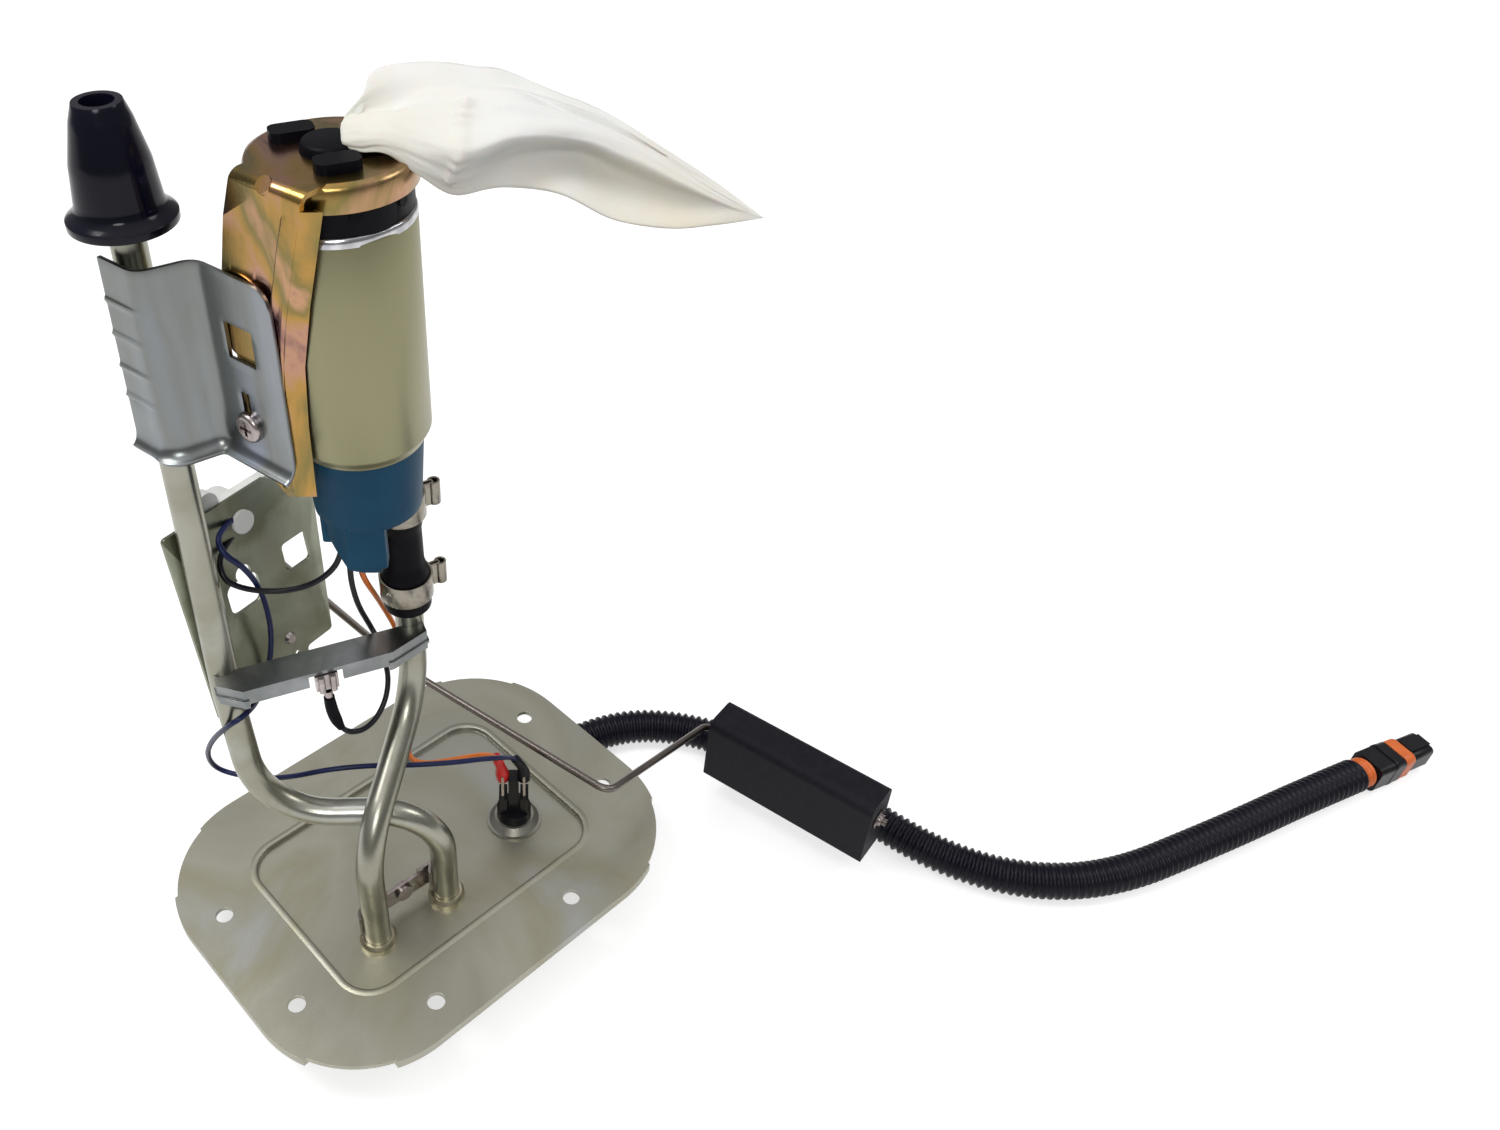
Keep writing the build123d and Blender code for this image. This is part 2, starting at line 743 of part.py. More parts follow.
def rotor_shaft():
    shaft = disc(shaft_r, shaft_low_z, shaft_top_z, pump_u, pump_v)
    return turned(shaft)


def commutator():
    low, high = commutator_low_z, commutator_low_z + commutator_height
    drum = ring(commutator_r, shaft_r, low, high, pump_u, pump_v)
    drum += ring(commutator_r + 0.9, shaft_r, high - 1.0, high, pump_u, pump_v)
    for k in range(core_slots):
        cut = slab(commutator_r - 0.6, commutator_r + 2, -0.25, 0.25, low - 1, high + 1)
        drum -= Pos(pump_u, pump_v, 0) * Rot(0, 0, 360 / core_slots * k) * cut
    return turned(drum)


def armature():
    """Slotted lamination stack with its end windings."""
    low, high = core_low_z, core_low_z + core_height
    core = ring(core_r, shaft_r, low, high)
    slot = slab(4.6, core_r + 1, -0.55, 0.55, low - 1, high + 1)
    pocket = Pos(7.2, 0, low + core_height / 2) * Cylinder(1.5, core_height + 2)
    for k in range(core_slots):
        core -= Rot(0, 0, 360 / core_slots * (k + 0.5)) * (slot + pocket)
    ends = Part()
    for base, sign in ((low, -1), (high, 1)):
        outline = [(shaft_r, base), (core_r - 1.2, base), (core_r - 1.6, base + sign * winding_height * 0.7),
                   (core_r - 3.2, base + sign * winding_height), (shaft_r, base + sign * winding_height)]
        ends += turned_profile(outline)
    return turned(Pos(pump_u, pump_v, 0) * (core + ends))


def magnets():
    outer = magnet_in_r + magnet_sheet
    pair = Part()
    half = magnet_span / 2
    for k in (0, 180):
        far = CenterArc((0, 0), outer, k - half, magnet_span)
        near = CenterArc((0, 0), magnet_in_r, k - half, magnet_span)
        face = make_face([far, near, Line(far @ 0, near @ 0), Line(far @ 1, near @ 1)])
        pair += extrude(face, magnet_height)
    return turned(Pos(pump_u, pump_v, magnet_low_z) * pair)


def brush_mid():
    return commutator_low_z + 1.9


def brushes():
    pair = Part()
    mid = brush_mid()
    for k in (0, 180):
        block = slab(commutator_r + 0.04, commutator_r + brush_length, -brush_width / 2, brush_width / 2,
                     mid - 1.7, mid + 1.7)
        block -= disc(commutator_r + 0.04, mid - 3, mid + 3)
        pair += Rot(0, 0, k) * block
    return turned(Pos(pump_u, pump_v, 0) * pair)


def brush_springs():
    start = commutator_r + brush_length
    end = can_r - can_wall - seat_gap - 1.2
    pair = Part()
    for k in (0, 180):
        spring = coil(1.3, spring_wire / 2, 0.02, end - start - 0.02, 4)
        pair += Rot(0, 0, k) * Pos(start, 0, brush_mid()) * Rot(0, 90, 0) * spring
    return turned(Pos(pump_u, pump_v, 0) * pair)


def impeller():
    """Regenerative wheel with vane pockets round its rim."""
    wheel = ring(impeller_r, shaft_r, impeller_low_z, impeller_low_z + impeller_sheet)
    deep = 1.2
    pocket = slab(impeller_r - 2.6, impeller_r + 1, -0.5, 0.5, impeller_low_z - 1, impeller_low_z + deep)
    over = slab(impeller_r - 2.6, impeller_r + 1, -0.5, 0.5, impeller_low_z + impeller_sheet - deep,
                impeller_low_z + impeller_sheet + 1)
    for k in range(impeller_blades):
        wheel -= Rot(0, 0, 360 / impeller_blades * k) * (pocket + over)
    return turned(Pos(pump_u, pump_v, 0) * wheel)


def pump_channel_plate():
    """Lower wall of the pumping chamber, with its channel and outlet port."""
    outer = can_r - can_wall - seat_gap
    top = impeller_low_z - 0.3
    plate = ring(outer, shaft_r + 0.4, inlet_ring_z, top)
    channel = ring(impeller_r, impeller_r - 2.6, top - 1.4, top + 1)
    plate -= channel
    plate -= disc(1.6, inlet_ring_z - 1, top + 1, impeller_r - 1.3, 0)
    return turned(Pos(pump_u, pump_v, 0) * plate)


def inlet_housing():
    """Upper wall of the pumping chamber and the inlet boss that carries the sock."""
    outer = can_r - can_wall - seat_gap
    low = impeller_low_z - 0.28
    chamber_top = impeller_low_z + impeller_sheet + 0.3
    shoulder = can_top_z - can_wall - 0.1
    rim_in = can_r - rim_turn
    outline = [(0, low), (outer, low), (outer, shoulder), (rim_in - 0.4, shoulder),
               (rim_in - 0.8, can_top_z - 0.1), (inlet_boss_r, can_top_z - 0.1), (inlet_boss_r, boss_top() - 1.0),
               (inlet_boss_r - 0.6, boss_top()), (0, boss_top())]
    body = turned_profile(outline)
    body -= disc(impeller_r + 0.3, low - 1, chamber_top)
    body -= ring(impeller_r, impeller_r - 2.6, chamber_top - 0.5, chamber_top + 1.4)
    body -= disc(shaft_r + 1.9 + seat_gap, chamber_top - 1, housing_top_z - 6.0 + 0.1)
    body -= disc(shaft_r + 0.8, chamber_top - 1, housing_top_z - 5.0)
    gallery = slab(0, impeller_r - 1.6, -2.0, 2.0, housing_top_z - 3.4, housing_top_z + 0.2)
    body -= disc(2.0, chamber_top - 1, housing_top_z, impeller_r - 1.6, 0)
    body -= gallery
    body -= disc(inlet_boss_r - 1.0, housing_top_z - 3.4, boss_top() + 1)
    return turned(Pos(pump_u, pump_v, 0) * body)


def check_poppet():
    u, v = pump_u + outlet_du, pump_v + outlet_dv
    top = valve_seat_z - 0.02
    outline = [(0, top - poppet_height), (2.3, top - poppet_height), (2.9, top - poppet_height + 0.8),
               (2.9, top), (0, top)]
    body = turned_profile(outline)
    for k in range(3):
        body -= Rot(0, 0, 120 * k) * slab(2.3, 4, -3, 3, top - poppet_height - 1, top - 1.2)
    return turned(Pos(u, v, 0) * body)


def check_spring_ends():
    return valve_seat_z - 9.5, valve_seat_z - 0.02 - poppet_height


def check_spring():
    u, v = pump_u + outlet_du, pump_v + outlet_dv
    low, high = check_spring_ends()
    return turned(coil(2.6 + (valve_bore - nipple_bore) / 2, spring_wire / 2, low + 0.02, high - 0.02, 4, u, v))


def relief_ball():
    top = relief_seat_z - 0.02
    return turned(Pos(pump_u + relief_du, pump_v + relief_dv, top - relief_ball_r) * Sphere(relief_ball_r))


def relief_spring():
    low = relief_seat_z - 9.0 + 0.02
    high = relief_seat_z - 2 * relief_ball_r + 0.3
    return turned(coil(1.2, 0.18, low, high, 4, pump_u + relief_du, pump_v + relief_dv))


# Hose and clamps

def hose_ou():
    return pump_u + outlet_du, pump_v + outlet_dv


def fuel_hose():
    """Moulded hose, swollen where it grips the tube's and the cap's barbs."""
    u, v = hose_ou()
    g = seat_gap
    w = hose_wall
    lo, hi = hose_low_z, hose_top_z
    tube_end = hose_low_z + 2 * (barb_z - hose_low_z) + clamp_width
    inner = [(tube_r + g + 0.25, lo), (tube_r + g, barb_z - 3.2), (barb_r + g, barb_z - 0.8),
             (barb_r + g, barb_z + 0.4), (tube_r + g, barb_z + 3.8), (tube_r + g, tube_end),
             (nipple_r + g, nipple_low_z),
             (nipple_r + g, upper_clamp_z - 2.8), (barb_r - 0.2 + g, upper_clamp_z - 0.2),
             (barb_r - 0.2 + g, upper_clamp_z + 0.3), (nipple_r + g, upper_clamp_z + 3.8), (nipple_r + g, hi)]
    outer = [(tube_r + w + 0.8, lo), (barb_r + w + 0.1, barb_z - 3.6), (barb_r + w, barb_z - 1),
             (barb_r + w, barb_z + 4.8), (tube_r + w - 0.3, barb_z + 9), (tube_r + w - 0.4, upper_clamp_z - 8),
             (nipple_r + w + 0.7, upper_clamp_z - 3.5),
             (nipple_r + w + 0.7, upper_clamp_z + 3.6), (nipple_r + w + 0.2, hi)]
    return turned(turned_profile(inner + outer[::-1], u, v))


def clamp(z, radius, angle):
    """Band clamp with its rolled ear."""
    u, v = hose_ou()
    low, high = z - clamp_width / 2, z + clamp_width / 2
    band = ring(radius + clamp_sheet, radius, low, high)
    neck = slab(radius + 0.1, radius + 3.4, -0.9, 0.9, low, high)
    ear = Pos(radius + 3.6, 0, z) * (Cylinder(1.7, clamp_width) - Cylinder(1.1, clamp_width + 2))
    ear_part = neck + ear
    ear_part -= slab(radius + 0.7, radius + 3.0, -0.3, 0.3, low - 1, high + 1)
    tongue = slab(-1, 1, -radius - clamp_sheet - 0.5, -radius - 0.1, z - 1.4, z + 1.4)
    whole = band + Rot(0, 0, angle) * ear_part + Rot(0, 0, angle - 60) * Rot(0, 0, 0) * tongue
    return turned(Pos(u, v, 0) * whole)


ear_angle = -22.0


def upper_clamp_r():
    return nipple_r + hose_wall + 0.74


def lower_hose_clamp():
    return clamp(lower_clamp_z, barb_r + hose_wall + 0.12, ear_angle)


def upper_hose_clamp():
    return clamp(upper_clamp_z, upper_clamp_r(), ear_angle)


# Isolator, pump bracket and tube bracket

lug_length = 9.5
lug_width = 5.6
lug_corner = 1.9
lug_turn = -30.0


def boss_top():
    return cap_disc_top + boss_rise


def mouth(grow):
    """Opening in the cap disc: round at the inlet, open to the side that the sock leaves by."""
    half = mouth_r + grow
    return Circle(half) + Pos(20, 0) * Rectangle(40, 2 * half)


def in_mouth(grow, low, high):
    return Pos(pump_u, pump_v, low) * Rot(0, 0, mouth_turn) * extrude(mouth(grow), high - low)


def rubber_isolator():
    """Rubber between can and hanger: lobed wall, tongue in the cap's mouth and two raised lugs."""
    boss = inlet_boss_r + seat_gap
    under = cap_disc_top - gold_sheet - 0.02
    rim_in = cap_disc_r - gold_sheet - seat_gap
    low = can_top_z + 0.02
    outline = [(boss, low), (isolator_r, low), (isolator_r, cap_rim_low), (rim_in, cap_rim_low + 0.4),
               (rim_in, under), (boss, under)]
    pad = turned_profile(outline, pump_u, pump_v)
    lobes = 9
    for k in range(lobes):
        lobe = Rot(0, 0, 360 / lobes * k) * Pos(isolator_r - 2, 0, cap_rim_low - 1.4) * Rot(0, 90, 0)
        pad += Pos(pump_u, pump_v, 0) * lobe * Pos(0, 0, 1) * Cylinder(1.3, 2 + 2 * isolator_wave)
    for u, v in lug_spots():
        block = Rot(0, 0, lug_turn) * lug_block(0)
        pad += Pos(u, v, under - 1) * extrude(block, 1 + gold_sheet + lug_rise)
    tongue = in_mouth(-seat_gap, under - 1, cap_disc_top + 0.3) & disc(
        cap_disc_r - gold_sheet - 0.4, under - 2, cap_disc_top + 2, pump_u, pump_v)
    pad = pad + tongue
    return turned(pad - disc(boss, can_top_z - 1, cap_disc_top + 5, pump_u, pump_v))


def lug_spots():
    """Rubber lugs in the pump frame."""
    return [unspot(-5.4, 14.7), unspot(-7.0, -4.1)]


def lug_block(grow):
    return RectangleRounded(lug_length + 2 * grow, lug_width + 2 * grow, lug_corner)


web_edge = [(-5.6, 226.6), (1.2, 204.2), (5.2, 188.0), (6.4, 172.0), (6.6, 152.5)]
web_back_edge = [(10.0, 151.0), (14.5, 154.0), (20.0, 166.0), (21.5, 205.0), (18.0, 219.0)]
web_top_v = (-6.4, 13.4)
flange_reach = (2.9, -3.5)
lobe_v = 16.0
lobe_z = 196.0
lobe_r = 11.0


def web_at(z):
    return web_u - web_lean * (cap_disc_top - z)


def bent_sheet():
    """The hanger's sheet seen from its edge: flat top, bend and leaning web."""
    low = web_low_z - 4.0
    thick = gold_sheet / cos(atan2(web_lean, 1.0))
    inside_z = cap_disc_top - gold_sheet
    top_end = pump_u - 8.0
    outside = [(top_end, cap_disc_top), (web_u, cap_disc_top), (web_at(low), low)]
    inside = [(web_at(low) + thick, low), (web_at(inside_z) + thick, inside_z), (top_end, inside_z)]
    face = make_face(Polyline(*outside, *inside, close=True))
    outer = face.vertices().sort_by_distance((web_u, cap_disc_top, 0))[0]
    face = fillet(outer, web_bend_r)
    inner = face.vertices().sort_by_distance((web_at(inside_z) + thick, inside_z, 0))[0]
    face = fillet(inner, web_bend_r - gold_sheet)
    return extrude(Plane.XZ * face, 40, both=True)


def web_outline():
    """Outline of the web seen square on, cut through the whole sheet."""
    top = cap_disc_top + 1
    points = [(web_top_v[0], top)] + web_edge + web_back_edge + [(web_top_v[1], top)]
    face = make_face(Polyline(*points, close=True))
    return Pos(-60, 0, 0) * extrude(Plane.YZ * face, 60)


def on_web(shape):
    """Local frame of the leaning web: X inward from its outer face."""
    lean = degrees(atan2(web_lean, 1.0))
    return Pos(web_u, 0, cap_disc_top) * Rot(0, lean, 0) * Pos(0, 0, -cap_disc_top) * shape


def side_flange():
    """Oblique flange bent out along the web's near edge."""
    ribbon = web_edge + [(v + 1.9, z) for v, z in web_edge[::-1]]
    strip = Plane.YZ * make_face(Polyline(*ribbon, close=True))
    reach = hypot(*flange_reach)
    return extrude(strip, reach, dir=(flange_reach[0] / reach, flange_reach[1] / reach, 0))


def cap_disc():
    under = cap_disc_top - gold_sheet
    inner = cap_disc_r - gold_sheet
    outline = [(0, under), (inner, under), (inner, cap_rim_low), (cap_disc_r, cap_rim_low),
               (cap_disc_r, cap_disc_top - 1.4), (cap_disc_r - 0.5, cap_disc_top - 0.4),
               (cap_disc_r - 1.4, cap_disc_top), (0, cap_disc_top)]
    return turned_profile(outline, pump_u, pump_v)


def pump_bracket():
    """Yellow zinc hanger: cap disc with its rolled rim, web and oblique side flange."""
    lobe = Pos(0.15, lobe_v, lobe_z) * Rot(0, 90, 0) * Cylinder(lobe_r, 1.2)
    bead = Pos(web_u + 0.9, 4.6, cap_disc_top - 1.2) * Rot(0, -45, 0) * Cylinder(1.9, 1.4)
    whole = cap_disc() + (bent_sheet() & web_outline()) + on_web(side_flange() + lobe) + bead
    whole -= on_web(Pos(0, screw_v, screw_z) * Rot(0, 90, 0) * Cylinder(screw_r + 0.1, 10))
    whole -= in_mouth(0, cap_rim_low - 1, cap_disc_top + 1)
    for u, v in lug_spots():
        whole -= Pos(u, v, cap_rim_low) * extrude(Rot(0, 0, lug_turn) * lug_block(seat_gap), 10)
    return turned(whole)


def tube_bracket():
    """Z-bent bracket from the riser to the pump bracket, flared along its lower edge."""
    s = bracket_sheet
    low, high = bracket_low_z, bracket_top_z
    line = [(bracket_face_u, face_v_near), (bracket_face_u, face_v_far), (wing_u, wing_v_near),
            (wing_u, wing_v_far)]
    inner = [(bracket_face_u + s, face_v_near), (bracket_face_u + s, face_v_far + 0.25),
             (wing_u + s, wing_v_near + 0.55), (wing_u + s, wing_v_far)]
    face = make_face(Polyline(*(line + inner[::-1]), close=True))
    body = Pos(0, 0, low) * extrude(face, high - low)
    flare_line = offset_line(line, -bracket_flare * 0.7)
    lower = make_face(Polyline(*(flare_line + shift_line(flare_line, s)[::-1]), close=True))
    upper = face
    flare = loft([Pos(0, 0, low - bracket_flare) * lower, Pos(0, 0, low) * upper], ruled=True)
    body = body + flare
    body -= Pos(bracket_face_u, 17.0, 189.8) * Box(10, 8.8, 9.2)
    body -= Pos(bracket_face_u, 13.3, 193.8) * Rot(0, 90, 0) * Cylinder(1.0, 10)
    body -= Pos(bracket_face_u, 18.2, 174.0) * Box(10, 2.6, 6.0)
    body -= Pos(bracket_face_u, screw_v, screw_z) * Rot(0, 90, 0) * Cylinder(screw_r + 0.4, 10)
    corner = slab(bracket_face_u - 3, bracket_face_u + 3, face_v_near - 1, face_v_near + 5, high - 5, high + 1)
    corner -= Pos(bracket_face_u, face_v_near + 5, high - 5) * Rot(0, 90, 0) * Cylinder(5, 20)
    body -= corner
    tab = slab(bracket_face_u - 1.6, bracket_face_u + s, 20.4, 21.4, 185.4, 194.0)
    body += tab
    return turned(body) - riser_seat(riser_top_z)


def offset_line(points, amount):
    """The same bent line moved outward, for the flared lower lip."""
    return [(u + amount, v - abs(amount) * 0.35) for u, v in points]


def shift_line(points, amount):
    return [(u + amount, v + amount * 0.4) for u, v in points]


def bracket_screw():
    """Pan-head screw through both brackets with its clip nut inside."""
    head_u = bracket_face_u
    shank = Pos(head_u + 2.4, screw_v, screw_z) * Rot(0, 90, 0) * Cylinder(screw_r, 6.4)
    dome = fillet(Cylinder(screw_head_r, 1.9).edges().sort_by(Axis.Z)[-1], 1.2)
    head = Pos(head_u - 1.0, screw_v, screw_z) * Rot(0, -90, 0) * dome
    cross = Pos(head_u - 1.9, screw_v, screw_z) * (Box(1.6, 3.8, 0.9) + Box(1.6, 0.9, 3.8))
    return turned(shank + head - cross)


# Vent cone

def vent_cone():
    """Rubber boot on the end of the riser."""
    x, y, _ = riser_spot(cone_low_z + 8)
    h = cone_height
    outline = [(tube_r + 0.3, 0), (cone_flange_r, 0), (cone_flange_r, 1.6), (cone_body_r + 0.8, 3.0),
               (cone_body_r, 4.0), (cone_mid_r, h * 0.52), (cone_top_r + 1.3, h * 0.86), (cone_top_r, h),
               (cone_bore_r, h), (cone_bore_r, h * 0.62), (tube_r + 0.3, h * 0.6)]
    body = turned_profile(outline)
    return Pos(x, y, cone_low_z) * body - riser_seat(riser_top_z + 0.3)


# Filter sock

sock_route = [(-2.8, 4.7, 6.0), (12.0, -4.0, 8.0), (27.0, -26.0, 6.0), (36.0, -50.0, 3.0), (41.0, -70.0, 0.6)]
sock_path = [(x, y, cap_disc_top + rise) for x, y, rise in sock_route]
sock_half = [(7.0, 3.2), (22.0, 5.4), (22.0, 6.0), (15.0, 5.0), (3.0, 1.6)]


def sock_sections():
    faces = []
    count = len(sock_path)
    for k, point in enumerate(sock_path):
        before = Vector(sock_path[max(k - 1, 0)])
        after = Vector(sock_path[min(k + 1, count - 1)])
        along = (after - before).normalized()
        side = along.cross(Vector(0, 0, 1)).normalized()
        frame = Plane(origin=point, x_dir=side, z_dir=along)
        faces.append(frame * Ellipse(*sock_half[k]))
    return faces


def filter_sock():
    """Closed bag of filter cloth pushed over the pump inlet: root, broad body and pointed tip."""
    neck = turned(disc(inlet_boss_r - 1.2, boss_top() + 0.02, sock_path[0][2], pump_u, pump_v))
    return loft(sock_sections()) + neck


# Harness gland and its terminals

def gland():
    """Moulded bulkhead: block above the plate, body below it and a side outlet for the loom."""
    floor = -panel_depth
    under = floor - plate_sheet
    body = disc(gland_hole_r - seat_gap, under - 0.02, floor, gland_x, gland_y)
    top = disc(gland_body_r - 1.4, floor, 5.0, gland_x, gland_y)
    lower = turned_profile([(0, gland_low_z), (loom_r + 3.4, gland_low_z), (loom_r + 4.4, gland_low_z + 1.2),
                            (loom_r + 4.4, under - 1.0), (loom_r + 3.9, under - 0.02), (0, under - 0.02)])
    lower = Pos(gland_x, gland_y, 0) * lower
    start, second = loom_points[0], loom_points[1]
    heading = degrees(atan2(second[1] - start[1], second[0] - start[0]))
    reach = hypot(start[0] - gland_x, start[1] - gland_y)
    spout = Rot(0, 0, heading) * Rot(0, 90, 0) * Pos(0, 0, -reach / 2) * Cylinder(loom_r - 1.6, reach)
    spout = Pos(*start) * spout
    block = terminal_core()
    return body + top + lower + spout + block


def terminal_core():
    u, v = gland_x, gland_y
    tower = Pos(u, v, 12.0) * Rot(0, 0, -41.5) * Box(3.2, 5.0, 16.0)
    lobes = Part()
    for k in (-1, 1):
        lobes += Pos(u, v, 0) * Rot(0, 0, -41.5) * Pos(k * 3.4, 0, 8.0) * Box(2.6, 6.4, 8.0)
    return tower + lobes


def gland_disc():
    """Metal sealing disc round the block, with its locking fingers."""
    floor = -panel_depth
    inner = gland_body_r - 1.4 + seat_gap
    disc_part = ring(gland_disc_r, inner, floor + 0.02, floor + 0.62, gland_x, gland_y)
    dome = turned_profile([(gland_disc_r - 1.6, floor + 0.6), (gland_disc_r - 0.9, floor + 0.6),
                           (inner + 0.8, floor + 2.6), (inner, floor + 2.6), (inner, floor + 2.0),
                           (inner + 0.5, floor + 2.0)])
    disc_part += Pos(gland_x, gland_y, 0) * dome
    return disc_part


def side_spot(offset, z):
    a = radians(-41.5)
    return (gland_x + offset * cos(a), gland_y + offset * sin(a), z)


def terminal_blades():
    blades = Part()
    for k in (-1, 1):
        blades += Pos(gland_x, gland_y, 0) * Rot(0, 0, -41.5) * Pos(k * 3.4, 0, 17.0) * Box(
            blade_sheet, 4.8, 10.0)
    return blades


def lead_sleeve(side, top):
    """Insulating sleeve of a push-on terminal."""
    sleeve = Pos(gland_x, gland_y, 0) * Rot(0, 0, -41.5) * Pos(side * 3.4, 0, 0) * (
        Pos(0, 0, 19.0) * Box(3.2, 6.4, 7.0) - Pos(0, 0, 17.0) * Box(blade_sheet + 0.1, 4.9, 10.2))
    crimp = Pos(*side_spot(side * 3.4, top)) * Cylinder(1.7, 5.0)
    return sleeve + crimp


def red_sleeve():
    return lead_sleeve(-1, 24.9)


def black_sleeve():
    return lead_sleeve(1, 24.9)


# Loom: a route of chosen points on the surface that the module stands on

loom_route = [(37.0, -2.0), (44.8, 4.0), (55.7, 8.9), (68.6, 10.6), (82.2, 8.2), (95.5, 2.6), (106.6, -7.2),
              (116.4, -22.4), (123.4, -41.2), (127.5, -64.0), (129.4, -86.0), (132.9, -107.0), (141.9, -126.6),
              (156.0, -142.0), (174.6, -153.0), (197.0, -160.6), (222.0, -168.8), (247.0, -176.2), (271.6, -184.4)]
loom_points = [(x, y, loom_z) for x, y in loom_route]


def loom_radii():
    radii = []
    for k in range(1, len(loom_points) - 1):
        before = Vector(loom_points[k]) - Vector(loom_points[k - 1])
        after = Vector(loom_points[k + 1]) - Vector(loom_points[k])
        turn = radians(before.get_angle(after))
        radii.append(0.45 * min(before.length, after.length) / tan(turn / 2))
    return radii


def harness_loom():
    tube = pipe(loom_points, loom_radii(), loom_r)
    path = FilletPolyline(*loom_points, radius=loom_radii())
    print("loom length", round(path.length, 1), "volume", round(tube.volume, 1),
          "section x length", round(pi * loom_r ** 2 * path.length, 1))
    print("loom radii", [round(r, 1) for r in loom_radii()])
    return tube


def on_connector(shape):
    """Local frame at the loom's end: Z along the connector."""
    end, before = Vector(loom_points[-1]), Vector(loom_points[-2])
    along = (end - before).normalized()
    frame = Plane(origin=end, x_dir=Vector(0, 0, 1), z_dir=along)
    return frame * shape


def connector_seal():
    points = [(0, 0.02), (4.6, 0.02), (5.4, 0.8), (5.0, 1.6), (5.4, 2.4), (5.0, 3.2), (5.4, 4.0),
              (4.6, 4.8), (0, 4.8)]
    return on_connector(turned_profile(points))


def connector_body():
    shell = Pos(0, 0, 4.82) * extrude(RectangleRounded(11.0, 11.6, 2.0), 12.0)
    collar = Pos(0, 0, 12.0) * extrude(RectangleRounded(11.8, 11.8, 2.2), 1.6)
    groove = Pos(0, 0, 16.8) * extrude(RectangleRounded(8.6, 8.6, 2.0), 5.0)
    nose = Pos(0, 0, 21.8) * extrude(RectangleRounded(9.4, 9.8, 2.0) - RectangleRounded(7.0, 7.4, 1.2), 9.6)
    return on_connector(shell + collar + groove + nose)


def connector_ring_seal():
    seal = extrude(RectangleRounded(11.4, 11.4, 2.6) - RectangleRounded(8.7, 8.7, 2.0), 4.6)
    return on_connector(Pos(0, 0, 17.0) * seal)


def connector_latch():
    arm = Pos(5.2, 0, 26.6) * Box(0.9, 5.0, 9.2)
    return on_connector(arm)


def connector_pins():
    pins = Part()
    for k in (-1.7, 1.7):
        pins += Pos(0, k, 25.5) * Cylinder(0.8, 7.3)
    return on_connector(pins)


def crossbar_with_blade():
    return crossbar() + ground_blade()


pieces["flange_plate"] = flange_plate
pieces["supply_tube"] = supply_tube
pieces["return_tube"] = return_tube
pieces["braze_rings"] = braze_rings
pieces["tube_tie_strap"] = tube_tie_strap
pieces["tie_rivet"] = tie_rivet
pieces["crossbar"] = crossbar_with_blade
pieces["ground_terminal"] = ground_terminal
pieces["sender_plate"] = sender_plate
pieces["sender_rivet"] = sender_rivet
pieces["sender_housing"] = sender_housing
pieces["sender_card"] = sender_card
pieces["wiper_hub"] = wiper_hub
pieces["float_arm"] = float_arm
pieces["float"] = float_body
pieces["float_push_nut"] = float_push_nut
pieces["pump_can"] = pump_can
pieces["pump_end_cap"] = pump_end_cap
pieces["lower_bearing"] = lower_bearing
pieces["upper_bearing"] = upper_bearing
pieces["rotor_shaft"] = rotor_shaft
pieces["commutator"] = commutator
pieces["armature"] = armature
pieces["magnets"] = magnets
pieces["brushes"] = brushes
pieces["brush_springs"] = brush_springs
pieces["impeller"] = impeller
pieces["pump_channel_plate"] = pump_channel_plate
pieces["pump_inlet_housing"] = inlet_housing
pieces["check_poppet"] = check_poppet
pieces["check_spring"] = check_spring
pieces["relief_ball"] = relief_ball
pieces["relief_spring"] = relief_spring
pieces["fuel_hose"] = fuel_hose
pieces["lower_hose_clamp"] = lower_hose_clamp
pieces["upper_hose_clamp"] = upper_hose_clamp
pieces["rubber_isolator"] = rubber_isolator
pieces["pump_bracket"] = pump_bracket
pieces["tube_bracket"] = tube_bracket
pieces["bracket_screw"] = bracket_screw
pieces["vent_cone"] = vent_cone
pieces["filter_sock"] = filter_sock
pieces["harness_gland"] = gland
pieces["gland_disc"] = gland_disc
pieces["terminal_blades"] = terminal_blades
pieces["red_sleeve"] = red_sleeve
pieces["black_sleeve"] = black_sleeve
pieces["harness_loom"] = harness_loom
pieces["connector_seal"] = connector_seal
pieces["connector_body"] = connector_body
pieces["connector_ring_seal"] = connector_ring_seal
pieces["connector_latch"] = connector_latch
pieces["connector_pins"] = connector_pins

for name, make in pieces.items():
    export_step(make(), "parts/" + name + ".step")
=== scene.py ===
import math
import bpy
from mathutils import Matrix, Vector, noise


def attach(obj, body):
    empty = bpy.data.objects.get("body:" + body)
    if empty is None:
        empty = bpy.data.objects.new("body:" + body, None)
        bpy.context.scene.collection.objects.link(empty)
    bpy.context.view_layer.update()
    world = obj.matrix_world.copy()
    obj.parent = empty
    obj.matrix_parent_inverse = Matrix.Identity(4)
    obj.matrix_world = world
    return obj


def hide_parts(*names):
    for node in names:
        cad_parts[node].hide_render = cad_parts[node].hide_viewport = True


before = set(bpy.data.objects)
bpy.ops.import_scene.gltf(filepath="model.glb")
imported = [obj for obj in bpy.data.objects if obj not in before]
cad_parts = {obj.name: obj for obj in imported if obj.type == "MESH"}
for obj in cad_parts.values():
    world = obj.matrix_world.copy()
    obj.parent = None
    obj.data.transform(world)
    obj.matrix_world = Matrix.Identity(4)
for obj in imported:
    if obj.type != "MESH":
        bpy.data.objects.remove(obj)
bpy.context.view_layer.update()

mm = 0.001

# Camera, standing where the photograph was taken from

photoView = {
    "width": 1500.0,
    "focalPixels": 1272.95,
    "principalX": 536.0,
    "pitch": 41.1235,
    "heading": 48.4697,
    "place": (-0.1371, -0.2098, 0.3360),
    "sensor": 36.0,
}


